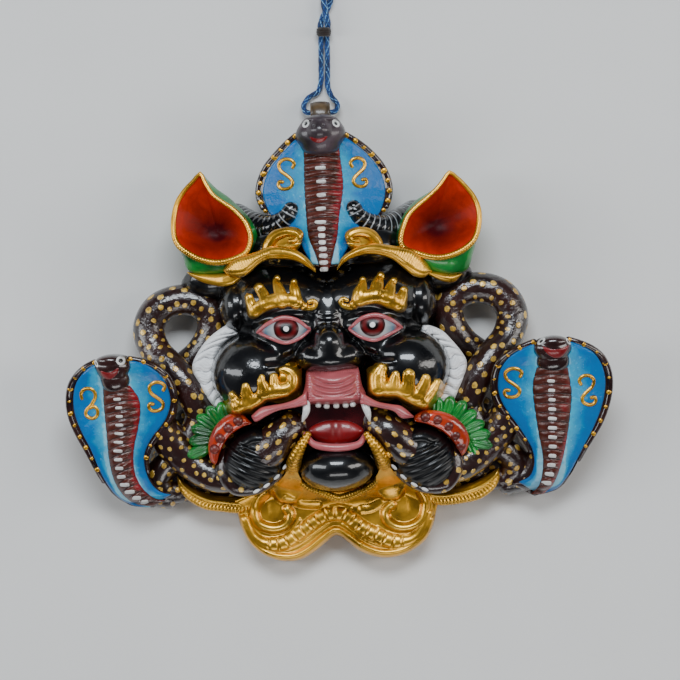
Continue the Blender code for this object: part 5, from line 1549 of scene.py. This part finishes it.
class Cobra:
    """A spread hood: rows of (left rim, spine, right rim) from head to tail, and how high the spine is."""

    def __init__(self, rows, heights, drop=8.0, thick=5.0):
        rows = np.asarray(rows, float)
        self.left, self.spine, self.right = (spline(rows[:, k], 8) for k in range(3))
        self.z = np.interp(np.linspace(0, 1, len(self.spine)), np.linspace(0, 1, len(heights)), heights)
        self.drop, self.thick = drop, thick
        width = self.right[:, 0] - self.left[:, 0]
        self.spread = width / width.max()

    def at(self, line, y, values):
        """Value at a height on the drawing, read along one of the lines."""
        return np.interp(-y, -line[:, 1], values)

    def height(self, x, y):
        """Front of the hood: the spine's height, less drop |u|^1.6 towards the rims."""
        spine = self.at(self.spine, y, self.spine[:, 0])
        left = self.at(self.left, y, self.left[:, 0])
        right = self.at(self.right, y, self.right[:, 0])
        u = np.clip(np.where(x < spine, (spine - x) / np.maximum(1, spine - left),
                             (x - spine) / np.maximum(1, right - spine)), 0, 1)
        spread = self.at(self.spine, y, self.spread)
        return self.at(self.spine, y, self.z) - self.drop * spread * u ** 1.6

    def body(self):
        """Whole hood, front and back, thickest along the spine."""
        u = np.sin(np.linspace(-1, 1, 33) * np.pi / 2)[None, :, None]
        spine = self.spine[:, None]
        flat = np.where(u < 0, spine - u * (self.left[:, None] - spine),
                        spine + u * (self.right[:, None] - spine))
        top = self.height(flat[..., 0], flat[..., 1])
        depth = self.thick + 8.0 * np.maximum(0, 1 - 1.5 * np.abs(u[..., 0]))
        rings = np.concatenate([np.dstack([flat, top]), np.dstack([flat, top - depth])[:, ::-1]], axis=1)
        return skin(rings)

    def panel(self, inset, start, end, last=None):
        """Blue front within the rim, whose map runs from 0 beside the belly to 1 at the rim. The rim is inset
        wide above and last wide towards the tail."""
        keep = slice(int(start * len(self.spine)), int(end * len(self.spine)))
        share = np.linspace(start, end, len(self.spine[keep]))
        inset = np.interp(share, [0.55, 0.72], [inset, inset if last is None else last])
        sideways = np.column_stack([inset, 0 * inset])
        left, right = self.left[keep] + sideways, self.right[keep] - sideways
        pick = np.linspace(0, len(left) - 1, 17).astype(int)

        def front(x, y, inward, u, v):
            return self.height(x, y) + 0.9 * swell(inward, 0.9)

        def out(x, y):
            spine = self.at(self.spine, y, self.spine[:, 0])
            rim = np.where(x < spine, spine - self.at(self.left, y, self.left[:, 0]),
                           self.at(self.right, y, self.right[:, 0]) - spine) - BARE_RIM
            return np.clip((np.abs(x - spine) - HALF_BELLY) / np.maximum(1, rim - HALF_BELLY), 0, 1), y
        return remap(leaf(left[pick], right[pick], front, 1.5, (110, 44)), out)

    def rim(self, start=0.0, end=0.95):
        """Dark bead round the hood, from the head down one side, and the same down the other."""
        shapes = []
        for line in (self.left, self.right):
            keep = line[int(start * len(line)):int(end * len(line))][::6]
            z = self.height(keep[:, 0], keep[:, 1]) - 0.4
            shapes.append(tube(np.column_stack([keep, z]), [1.4, 1.6, 1.6, 1.5, 1.2], 1.0, 12))
        return shapes

    def rim_dots(self, pitch, start=0.0, end=0.9, bold=1.0):
        """Gold dots on the rim, a pitch apart, each a low oval of paint."""
        shapes = []
        for line, turn_in in ((self.left, 0.4), (self.right, -0.4)):
            keep = line[int(start * len(line)):int(end * len(line))]
            count = int(travel(keep)[-1] / pitch)
            at = even(keep[::4], count)
            for k, (x, y) in enumerate(at):
                size = bold * (1.05 + 0.22 * math.sin(2.7 * k))
                z = self.height(np.array([x]), np.array([y]))[0] + 1.0
                shapes.append(blob((x + turn_in, y, z), (size, size * 1.15, 0.4), 25 * k, (7, 12)))
        return shapes

    def belly(self, left, right, pitch, rise=2.2, rows=200):
        """Ribbed belly between two edges: rounded across, with a sharp groove between the plates."""
        a, b = even(left, rows), even(right, rows)
        v = np.broadcast_to(np.linspace(0, 1, 32), (rows, 32))
        flat = between(a, b, v)
        along = np.broadcast_to(travel((a + b) / 2)[:, None], v.shape)
        across = 2 * v - 1
        top = (self.height(flat[..., 0], flat[..., 1]) + 0.6 + rise * (1 - across ** 2)
               + self.plates(along + 0.9 * np.cos(1.4 * across), pitch) * (1 - across ** 8))
        made = strip(flat, top, self.height(flat[..., 0], flat[..., 1]) - 1.0)
        self.belly_line = (a + b) / 2
        self.belly_half = np.linalg.norm(b - a, axis=1) / 2
        self.belly_pitch, self.belly_rise = pitch, rise
        wide = np.concatenate([v, np.broadcast_to([1, 0.75, 0.5, 0.25, 0, 0], (rows, 6))], axis=1)
        rings = made["points"][:-2].reshape(rows, -1, 3)
        uv = np.stack([wide, np.broadcast_to(along[:, :1], wide.shape)], axis=2)
        # the crease is made stronger, for darker painted shade in the grooves
        crease = made["crease"][:-2].reshape(rows, -1) * 1.6
        return skin(rings, uv, crease)

    @staticmethod
    def plates(along, pitch):
        """Plate profile: 1.1 |sin(pi s / pitch)|^0.6."""
        return 1.1 * np.abs(np.sin(np.pi * along / pitch)) ** 0.6

    def belly_height(self, x, y):
        """Height of the belly's front at points on it."""
        away, along = nearest(x, y, self.belly_line)
        half = np.interp(along, travel(self.belly_line), self.belly_half)
        across = np.clip(away / half, 0, 1)
        return (self.height(x, y) + 0.6 + self.belly_rise * (1 - across ** 2)
                + self.plates(along + 0.9 * np.cos(1.4 * across), self.belly_pitch))

    def dashes(self, plates, shift, wide, tall, turn=0.0, grow=0.0):
        """White brush strokes on the plates that are counted: shift beside the middle, wide and tall at the
        first one and grow times wider and taller at the last."""
        along = travel(self.belly_line)
        shapes = []

        def front(x, y, inward, share):
            return self.belly_height(x, y) + 0.35 * swell(inward, 0.5) - 0.05

        for k, plate in enumerate(plates):
            at = (plate + 0.5) * self.belly_pitch
            x, y = (np.interp(at, along, self.belly_line[:, axis]) for axis in range(2))
            grown = 1 + grow * k / len(plates)
            radii = wide * (grown + 0.12 * math.sin(5.3 * k)), tall * grown
            outline = ellipse((x + shift, y), radii, turn + 5 * math.sin(3.1 * k), 20, 0.5)
            shapes.append(disc(outline, (x + shift, y), front, 1.2, (6, 22)))
        return shapes

    def curl(self, centre, wide, tall, stroke, points):
        """Gold S of paint on the panel."""
        path = np.asarray(points) * (wide, tall) + centre
        path = even(path, 40)
        z = self.height(path[:, 0], path[:, 1]) + 0.9
        return tube(np.column_stack([path, z])[::2], [0.5 * stroke] * 3, 0.5, 10, 0.7)


S_CURL = [(0.40, 0.22), (0.49, 0.36), (0.26, 0.49), (-0.12, 0.50), (-0.40, 0.35), (-0.31, 0.13),
          (0.05, -0.05), (0.34, -0.24), (0.25, -0.43), (-0.10, -0.50), (-0.42, -0.44), (-0.48, -0.28),
          (-0.28, -0.22), (-0.20, -0.32)]
RING_CURL = [(-0.44, 0.18), (-0.46, 0.36), (-0.18, 0.50), (0.22, 0.46), (0.40, 0.26), (0.26, 0.08),
             (0.10, -0.06), (-0.20, -0.22), (-0.22, -0.40), (0.10, -0.50), (0.42, -0.42), (0.46, -0.22),
             (0.22, -0.10), (-0.06, -0.18)]


CREST_ROWS = [((-13.5, 101), (-1.5, 103), (11.5, 100.5)), ((-18.5, 97), (-1.2, 97), (18, 96)),
              ((-24, 91.5), (-1, 91), (24, 90.5)), ((-28.5, 86.5), (-1, 85.5), (28.5, 85)),
              ((-31.8, 80.5), (-0.8, 79.5), (31.2, 79.5)), ((-33.6, 74), (-1, 73), (32.6, 73.5)),
              ((-33, 69), (-1.5, 67), (32, 67.5)), ((-31, 64.5), (-1.8, 61.5), (29.8, 62.5)),
              ((-27, 60), (-2, 56), (25.5, 58)), ((-20, 55), (-2, 50), (17, 53)),
              ((-15, 49.5), (-1.7, 45), (13.5, 48)), ((-11.4, 42), (-1.5, 39.5), (9.2, 41.5)),
              ((-7.4, 35), (-1.5, 34.3), (5.0, 34.6))]
CREST_HEIGHTS = [31, 32, 31, 30, 30, 30, 31, 33, 36, 40, 44, 47, 49]
LEFT_ROWS = [((-118, -8), (-110.5, -8.5), (-101, -7)), ((-124, -11), (-109.5, -14), (-92, -9.5)),
             ((-129, -16), (-108.5, -19), (-86.5, -13)), ((-131.5, -21), (-108, -24), (-82, -18)),
             ((-132.5, -28), (-107.5, -30), (-79.3, -26)), ((-131.5, -36), (-107.5, -37), (-80, -34)),
             ((-128, -45), (-108, -45), (-84, -41)), ((-124, -53), (-108.5, -53), (-90.5, -48.5)),
             ((-120.5, -61), (-108, -60.5), (-94.5, -56)), ((-117, -68), (-106.5, -67.5), (-94.5, -64)),
             ((-112, -75.5), (-103.5, -74.5), (-91.5, -71)), ((-104, -81), (-98.5, -78.5), (-87, -75)),
             ((-93, -82.7), (-90, -79.8), (-81, -76.5))]
RIGHT_ROWS = [((101, -7), (109.5, -8.5), (118, -6.5)), ((93, -10), (110, -14), (126, -9.5)),
              ((87, -13.5), (110, -19), (133, -14)), ((82, -19), (109.5, -24), (137, -20.5)),
              ((80, -26), (109, -30), (138.5, -28)), ((80.5, -33.5), (109, -37), (137.5, -36)),
              ((84, -41), (109, -45), (135, -44)), ((89, -48), (108.5, -53), (131, -52)),
              ((94, -55), (108, -60), (126, -59.5)), ((97.5, -61.5), (107.5, -67), (121.5, -67)),
              ((98, -68.5), (107, -74), (117.5, -74)), ((95.5, -74.5), (103.5, -79.5), (111, -81.5)),
              ((88, -78), (94, -82), (99, -84.7))]
SIDE_HEIGHTS = [44, 43, 41, 39.5, 38, 37, 35.5, 33, 30, 26.5, 22, 17.5, 13]

CREST_BELLY = ([(-10.5, 96), (-10.2, 90), (-10.6, 75), (-10.2, 60), (-9.5, 50), (-6.7, 42), (-4.8, 36),
               (-3.0, 33.0)], [(8.6, 96), (8.6, 90), (9.6, 75), (7.0, 60), (5.6, 50), (3.5, 42), (1.8, 36),
               (0.2, 33.0)])
LEFT_BELLY = ([(-114.8, -21), (-115.0, -30), (-114.3, -44), (-113.8, -56), (-112, -67), (-108, -75),
              (-102, -80.2), (-94, -82)], [(-100.8, -20.5), (-96.8, -27), (-96.3, -34), (-97.8, -42),
              (-100.0, -50), (-101, -57), (-100.5, -65), (-97.5, -72), (-92, -77.4), (-86.5, -79.0)])
RIGHT_BELLY = ([(101.5, -20), (99.4, -27), (99.2, -35), (101, -51), (103.2, -66), (101.5, -78), (97, -83.5)],
               [(117.4, -20), (118.6, -28), (119, -36), (116.5, -53), (113, -68), (108.5, -79),
               (103.5, -83.8)])

HEADS = { "crest": { "forms": [((-1.2, 101.5, 32), (12.6, 8.8, 10.5)), ((-1.5, 103.0, 36), (6.4, 5.6, 9.0)),
         ((-1.2, 108.4, 34), (9.5, 2.4, 8.0)), ((-1.2, 96.5, 32), (9.8, 7.5, 9.0))], "outline": [(-14, 99),
         (-12.6, 103.8), (-9.2, 108.2), (-4.5, 110.4), (2, 110.6), (7.3, 108.8), (10.9, 104), (11.6, 99.4),
         (10.0, 95.4), (7.6, 92.2), (-1, 90.6), (-10.0, 92.2), (-12.4, 95.8)], "centre": (-1.2, 100.5),
         "mouth": [(-6.8, 99.8), (-4.6, 98.9), (-2.2, 98.4), (0.4, 98.8), (2.6, 99.6), (1.2, 97.4),
         (-2.0, 96.2), (-5.2, 97.4)], "nose": [(-4.3, 105.0), (0.4, 105.0)],
         "eyes": [(-8.1, 106.2, 1.6, 2.2, -35), (6.9, 105.8, 1.6, 2.2, 38)],
         "floor": 22.0, }, "left": { "forms": [((-109.6, -10.6, 41), (9.8, 6.4, 8.5)), ((-108.6, -16.8, 39),
         (8.2, 8.0, 7.2)), ((-111.0, -7.2, 43), (6.8, 2.8, 6.0))], "outline": [(-118.4, -9.4), (-117.0, -6.4),
         (-111.7, -4.6), (-106, -4.5), (-101.4, -6.2), (-99.4, -10.0), (-99.6, -15.5), (-101.4, -21.0),
         (-107.0, -24.6), (-113.2, -23.0), (-116.2, -16.0)], "centre": (-109.0, -13.0),
         "mouth": [(-115.2, -12.4), (-112.4, -13.4), (-109.6, -13.2), (-106.2, -11.2), (-106.8, -14.2),
         (-109.4, -16.6), (-112.2, -17.0), (-114.4, -15.2)], "nose": [],
         "eyes": [(-104.9, -7.9, 2.3, 2.3, 20), (-117.3, -8.8, 0.8, 2.0, 20)],
         "floor": 30.0, }, "right": { "forms": [((109.9, -10.4, 41), (10.4, 6.2, 8.5)), ((110.0, -16.4, 39),
         (9.2, 7.6, 7.2)), ((110.6, -7.0, 43), (7.4, 2.8, 6.0))], "outline": [(100.6, -9.0), (103.0, -5.8),
         (108, -4.4), (113, -4.4), (117.8, -6.6), (119.6, -10.6), (118.8, -15.5), (117.4, -20.5),
         (110.0, -23.6), (102.4, -20.5), (100.8, -14.5)], "centre": (110.0, -13.0), "mouth": [(104.6, -9.2),
         (107.8, -10.8), (111.2, -11.2), (114.6, -10.8), (118.2, -9.2), (116.8, -12.6), (114.2, -15.2),
         (111.0, -15.8), (108.0, -14.4), (105.8, -12.0)], "nose": [], "eyes": [(104.3, -7.0, 2.4, 1.2, 40),
         (117.8, -7.6, 0.7, 2.0, 30)], "floor": 30.0, }, }


def head_height(forms):
    """Front of a snake's head: its forms melted together."""
    return lambda x, y: melt([dome(x, y, *form) for form in forms], 0.6)


def snake_head(spec):
    """Head over its outline, with pits for the nostrils."""
    high = head_height(spec["forms"])

    def front(x, y, inward, share):
        z = high(x, y)
        for nx, ny in spec["nose"]:
            z = z - 1.2 * np.exp(-((x - nx) ** 2 + (y - ny) ** 2) / 0.5)
        return np.maximum(z, spec["floor"]) - 1.5 + 1.5 * swell(inward, 1.8)
    return disc(spec["outline"], spec["centre"], front, 6.0, (44, 84))


def head_marks(spec, part):
    """Flat painted parts of a head: its mouth, the whites or the pupils of its eyes."""
    high = head_height(spec["forms"])
    if part == "mouth":
        def lips(x, y, inward, share):
            return high(x, y) + 0.5 * swell(inward, 0.9) - 0.2
        return [disc(spec["mouth"], np.mean(spec["mouth"], axis=0), lips, 1.5, (12, 44))]
    lift, size = (0.5, 1.0) if part == "white" else (1.1, 0.52)

    def front(x, y, inward, share):
        return high(x, y) + lift * swell(inward, 0.7)
    return [disc(ellipse((x, y), (wide * size, tall * size), turn), (x, y), front, 1.6, (10, 24))
            for x, y, wide, tall, turn in spec["eyes"]]


class MASK_OT_cobras(bpy.types.Operator):
    """Three cobras: spread hoods with ribbed bellies, dotted rims, gold curls and small heads"""
    bl_idname = "mask.cobras"
    bl_label = "Cobras"

    def execute(self, context):
        kit = paints(context)
        sizes = context.scene.mask_sizes
        rib, stroke = sizes.rib / MM, sizes.stroke / MM
        crest, left, right = (Cobra(CREST_ROWS, CREST_HEIGHTS), Cobra(LEFT_ROWS, SIDE_HEIGHTS),
                              Cobra(RIGHT_ROWS, SIDE_HEIGHTS))
        cobras = (crest, left, right)
        piece("hoods", [cobra.body() for cobra in cobras], kit.brown)
        piece("hood_panels", [crest.panel(2.4, 0.02, 0.99, 0.3), left.panel(2.4, 0.05, 0.985, 1.0),
                              right.panel(2.4, 0.05, 0.985, 1.0)], kit.blue)
        piece("hood_rims", crest.rim(0.0, 0.62) + left.rim(0.0, 0.8) + right.rim(0.0, 0.8), kit.brown)
        piece("rim_dots", crest.rim_dots(4.4, 0.02, 0.6, 1.2) + left.rim_dots(5.6, 0.02, 0.7)
              + right.rim_dots(6.2, 0.02, 0.7), kit.gold)
        piece("bellies", [crest.belly(*CREST_BELLY, rib), left.belly(*LEFT_BELLY, 1.28 * rib),
                          right.belly(*RIGHT_BELLY, 1.38 * rib)], kit.belly)
        marks = (crest.dashes([3, 5, 7, 9, 11], -1.2, 2.7, 0.95) + crest.dashes(range(12, 19), -0.6, 2.0, 1.1)
                 + left.dashes(range(1, 15), -1.6, 1.9, 0.75, 0.0, 0.35)
                 + right.dashes(range(1, 13), -0.4, 1.9, 0.85, -6.0, 0.25))
        piece("belly_dashes", marks, kit.white)
        s_curl, back_curl, ring = np.array(S_CURL), flipped(S_CURL), np.array(RING_CURL)
        curls = [crest.curl((-19.0, 81.8), 8.6, 14.8, stroke, s_curl),
                 crest.curl((17.2, 81.2), 8.0, 14.2, stroke, back_curl),
                 left.curl((-88.2, -26.6), 8.6, 14.2, stroke, s_curl),
                 left.curl((-121.8, -28.6), 8.4, 15.0, stroke, ring),
                 right.curl((89.8, -27.2), 9.2, 14.2, stroke, s_curl),
                 right.curl((126.8, -32.4), 8.2, 14.6, stroke, back_curl)]
        piece("hood_curls", curls, kit.gold)
        piece("crest_head", [snake_head(HEADS["crest"])], kit.head)
        piece("side_heads", [snake_head(HEADS["left"]), snake_head(HEADS["right"])], kit.brown)
        for part, paint in (("mouth", kit.tongue), ("white", kit.white), ("pupil", kit.black)):
            shapes = [shape for spec in HEADS.values() for shape in head_marks(spec, part)]
            piece(f"head_{part}s", shapes, paint)
        return {"FINISHED"}


# Hanging eye and cord, in metres

EYE_HOLE = 0.0080
EYE_WIRE = 0.0032
EYE_WIDTH = 0.010
EYE_LINE = 0.00018      # depth of the lines along the eye's band
EYE_LINE_PITCH = 0.0025
EYE_CENTRE = np.array([-0.0037, 0.108, EYE_HOLE / 2 + EYE_WIRE])

LOOP_ROUTE = [(0.0012, 0.1479, 0.0014), (0.0011, 0.1400, 0.0014), (0.0008, 0.1310, 0.0014),
              (0.0006, 0.1230, 0.0015), (0.0024, 0.1176, 0.0024), (0.0050, 0.1138, 0.0045),
              (0.0040, 0.1102, 0.0066), (0.0004, 0.1096, 0.0072), (-0.0038, 0.1096, 0.0072),
              (-0.0078, 0.1096, 0.0072), (-0.0112, 0.1106, 0.0058), (-0.0118, 0.1142, 0.0034),
              (-0.0088, 0.1180, 0.0018), (-0.0044, 0.1206, 0.0014), (-0.0027, 0.1260, 0.0014),
              (-0.0024, 0.1320, 0.0014), (-0.0021, 0.1400, 0.0014), (-0.0018, 0.1479, 0.0014)]
BINDING_CENTRE = np.array([-0.0003, 0.1504, 0.0039])
UPPER_ROUTE = [(0.0000, 0.1530, 0.0034), (0.0006, 0.1580, 0.0034), (0.0016, 0.1640, 0.0034),
               (0.0026, 0.1700, 0.0034), (0.0036, 0.1760, 0.0034)]
UPWARDS = np.array([0.042, 1.0, 0.0])
KNOT_GAP = 0.0003
LAY = 0.030             # length of one turn of the two strands round each other
BINDING_HALF = 0.00225  # half the binding's length


def braided(line, radius, plait=0.0045, sides=32):
    """Round braid of eight strands: r = R (0.92 + 0.08 max(cos a, cos b)), a and b winding opposite ways.
    The mark that the mesh carries is 1 on a pale strand, -1 on a navy one and negative in the gaps, for
    painted shade there."""
    s = travel(line)
    count = int(s[-1] / 0.00030)
    at = np.linspace(0, s[-1], count)
    line = np.column_stack([np.interp(at, s, line[:, k]) for k in range(3)])
    radius = np.interp(at, s, radius)[:, None]
    _, side, up = axes_along(line)
    theta = np.linspace(0, 2 * np.pi, sides, endpoint=False)[None, :]
    wind = 2 * np.pi * at[:, None] / plait
    a, b = 4 * theta + wind, 4 * theta - wind
    top = np.maximum(np.cos(a), np.cos(b))
    size = radius * (0.92 + 0.08 * top)
    strand = np.where(np.cos(a) > np.cos(b), np.floor(a / (2 * np.pi)) % 4, 4 + np.floor(b / (2 * np.pi)) % 4)
    mark = np.where((strand == 1) | (strand == 6), 1.0, np.where(np.isin(strand, (2, 3, 5, 7)), -1.0, 0.0))
    # the gaps between strands are marked for painted shade
    mark = np.where(top < 0.35, -0.35, mark)
    size[[0, -1]] *= 0.4
    rings = rings_round(line, size, theta, side, up)
    uv = np.stack(np.broadcast_arrays(at[:, None] / MM, np.linspace(0, 1, sides + 1)[None, :]), axis=2)
    return skin(rings, uv, mark)


def laid(line, start, offset, pitch):
    """One strand laid round a line: it circles the line at offset, one turn for every pitch."""
    _, side, up = axes_along(line)
    turn = start + 2 * np.pi * travel(line)[:, None] / pitch
    return line + offset * (np.cos(turn) * side + np.sin(turn) * up)


def wound(centre, along, profile, turns, cord, sides=40):
    """Turned body wound with cord: its radius swells once for every turn, aslant."""
    along = along / np.linalg.norm(along)
    side = np.cross(along, (0, 0, 1.0))
    d = np.linspace(profile[0][0], profile[-1][0], 90)
    r = np.interp(d, [p[0] for p in profile], [p[1] for p in profile])
    theta = np.linspace(0, 2 * np.pi, sides, endpoint=False)[None, :]
    phase = turns * (d - d[0])[:, None] / (d[-1] - d[0]) + theta / (2 * np.pi)
    swelling = np.abs(np.sin(np.pi * phase))
    size = r[:, None] - cord * (1 - swelling ** 0.6)
    rings = rings_round(centre + d[:, None] * along, size, theta, side[None], UP[None])
    # the grooves between the turns are marked for painted shade
    return skin(rings, crease=-0.5 * (1 - swelling))


class MASK_OT_cord(bpy.types.Operator):
    """Blue braid through the hanging eye, its binding, the doubled braid above and the knot"""
    bl_idname = "mask.cord"
    bl_label = "Cord"

    def execute(self, context):
        kit = paints(context)
        sizes = context.scene.mask_sizes
        upper = spline(UPPER_ROUTE, 5)
        strand = 0.24 * sizes.doubled
        falling, rising = (laid(upper, start, sizes.doubled / 2 - strand, LAY) for start in (0.0, math.pi))
        route = spline(np.vstack([falling[::-2], LOOP_ROUTE, rising[::2]]), 6)
        thick = np.where(route[:, 1] > BINDING_CENTRE[1], strand, sizes.cord / 2)
        braid = piece("braid", [braided(route, thick)], kit.braid, ("cord_loop", "cord_upper"), True)
        half, r = BINDING_HALF, sizes.binding / 2
        profile = [(-half, 0.72 * r), (-0.7 * half, 0.94 * r), (0, r), (0.7 * half, 0.94 * r),
                   (half, 0.72 * r)]
        turns = wound(BINDING_CENTRE, UPWARDS, profile, 5, 0.0004)
        binding = piece("binding", [turns], kit.cotton,
                        ("cord_binding",), True)
        r = sizes.knot / 2
        centre = np.array(UPPER_ROUTE[-1]) + UPWARDS * (0.9 * r + KNOT_GAP)
        centre[2] = r
        profile = [(r * a, r * math.sqrt(1 - a * a)) for a in np.linspace(-0.9, 0.9, 13)]
        turns = wound(centre, UPWARDS, profile, 4, 0.0009)
        knot = piece("knot", [turns], kit.braid, ("cord_knot",), True)
        return {"FINISHED"}


class MASK_OT_hanger(bpy.types.Operator):
    """Brass eye behind the crest's head that the cord runs through"""
    bl_idname = "mask.hanger"
    bl_label = "Hanging eye"

    def execute(self, context):
        middle = (EYE_HOLE + EYE_WIRE) / 2
        rows, sides = 96, 32
        a = np.linspace(0, 2 * np.pi, rows, endpoint=False)
        b = np.linspace(0, 2 * np.pi, sides, endpoint=False)
        wide = squared(np.cos(b), 0.5) * EYE_WIDTH / 2
        lines = EYE_LINE * np.cos(2 * np.pi * wide / EYE_LINE_PITCH)
        wall = middle + squared(np.sin(b), 0.7) * EYE_WIRE / 2 + lines * (np.sin(b) > 0.3)
        rings = np.stack([np.broadcast_to(wide, (rows, sides)), np.outer(np.cos(a), wall),
                          np.outer(np.sin(a), wall)], axis=2) + EYE_CENTRE
        # the grooves of the lines are marked for painted shade
        made = skin(np.concatenate([rings, rings[:1]]),
                    crease=np.broadcast_to(-2500 * lines, (rows + 1, sides)))
        count = rows * sides
        made.update(fans=made["fans"][:0], fan_uv=made["fan_uv"][:0], quads=made["quads"] % count,
                    points=made["points"][:count], crease=made["crease"][:count])
        piece("hanging_eye", [made], paints(context).brass, metres=True)
        return {"FINISHED"}


# Stage

CAMERA_TARGET = (0.0014, -0.0052, 0.03)   # what the middle of the photograph shows
CAMERA_ROLL = -2.4                         # degrees
FIELD = 0.340                              # metres across the view at the target
CAMERA_DISTANCE = 3.0
SENSOR = 36.0
FLOOR_HALF = 3.0        # half the floor's side, in metres
FLOOR_LEVEL = -0.0006   # just under the mask, so that the two don't meet


def soft_light(name, place, size, power, tint=(1, 1, 1)):
    """Rectangular soft box that faces the mask."""
    lamp = bpy.data.lights.new(name, "AREA")
    lamp.shape = "RECTANGLE"
    lamp.size, lamp.size_y = size
    lamp.energy = power
    lamp.color = tint
    made = bpy.data.objects.new(name, lamp)
    made.location = place
    from_mask = np.asarray(place) / np.linalg.norm(place)
    made.rotation_euler = (math.acos(from_mask[2]), 0, math.atan2(from_mask[0], -from_mask[1]))
    bpy.context.scene.collection.objects.link(made)
    return made


class MASK_OT_stage(bpy.types.Operator):
    """Camera, soft lights and the pale floor"""
    bl_idname = "mask.stage"
    bl_label = "Stage"

    def execute(self, context):
        scene = context.scene
        view = bpy.data.cameras.new("camera")
        view.sensor_width = SENSOR
        view.lens = SENSOR * CAMERA_DISTANCE / FIELD
        view.clip_end = 20.0
        camera = bpy.data.objects.new("camera", view)
        camera.location = (CAMERA_TARGET[0], CAMERA_TARGET[1], CAMERA_TARGET[2] + CAMERA_DISTANCE)
        camera.rotation_euler = (0, 0, math.radians(CAMERA_ROLL))
        scene.collection.objects.link(camera)
        scene.camera = camera
        soft_light("window", (0.02, 1.05, 1.70), (1.05, 0.55), 34, (0.86, 0.93, 1.0))
        soft_light("left fill", (-1.35, 0.15, 0.85), (0.45, 1.3), 13, (0.93, 0.97, 1.0))
        soft_light("right fill", (1.35, 0.1, 0.85), (0.45, 1.3), 12, (1.0, 0.97, 0.93))
        soft_light("front", (0.1, -1.35, 0.95), (1.3, 0.4), 7)
        world = bpy.data.worlds.new("studio")
        world.use_nodes = True
        world.node_tree.nodes["Background"].inputs["Color"].default_value = (0.70, 0.80, 1.0, 1)
        world.node_tree.nodes["Background"].inputs["Strength"].default_value = 0.07
        scene.world = world
        mesh = bpy.data.meshes.new("floor")
        corners = [(x * FLOOR_HALF, y * FLOOR_HALF, FLOOR_LEVEL)
                   for x, y in ((-1, -1), (1, -1), (1, 1), (-1, 1))]
        mesh.from_pydata(corners, [], [(0, 1, 2, 3)])
        mesh.materials.append(paints(context).floor)
        floor = bpy.data.objects.new("floor", mesh)
        scene.collection.objects.link(floor)
        return {"FINISHED"}


class MASK_PT_panel(bpy.types.Panel):
    """Sidebar panel with the sizes, the colours and every builder"""
    bl_label = "Wall mask"
    bl_idname = "MASK_PT_panel"
    bl_space_type = "VIEW_3D"
    bl_region_type = "UI"
    bl_category = "Mask"

    def draw(self, context):
        layout = self.layout
        for group in (context.scene.mask_sizes, context.scene.mask_colours):
            for name in group.__annotations__:
                layout.prop(group, name)
        for operator in OPERATORS:
            layout.operator(operator.bl_idname)


OPERATORS = (MASK_OT_stage, MASK_OT_cord, MASK_OT_hanger, MASK_OT_face, MASK_OT_eyes, MASK_OT_whiskers,
             MASK_OT_mouth, MASK_OT_band, MASK_OT_ears, MASK_OT_ruffs, MASK_OT_hands, MASK_OT_snakes,
             MASK_OT_gilding, MASK_OT_cobras)
CLASSES = (MaskSizes, MaskColours) + OPERATORS + (MASK_PT_panel,)


def register():
    """Registers the classes and puts the properties on the scene."""
    for made in CLASSES:
        bpy.utils.register_class(made)
    bpy.types.Scene.mask_sizes = PointerProperty(type=MaskSizes)
    bpy.types.Scene.mask_colours = PointerProperty(type=MaskColours)


def unregister():
    """Takes the properties and the classes away."""
    del bpy.types.Scene.mask_colours
    del bpy.types.Scene.mask_sizes
    for made in reversed(CLASSES):
        bpy.utils.unregister_class(made)


def main():
    """Builds the stage and every piece."""
    register()
    for operator in OPERATORS:
        group, name = operator.bl_idname.split(".")
        getattr(getattr(bpy.ops, group), name)()


if __name__ == "__main__":
    main()
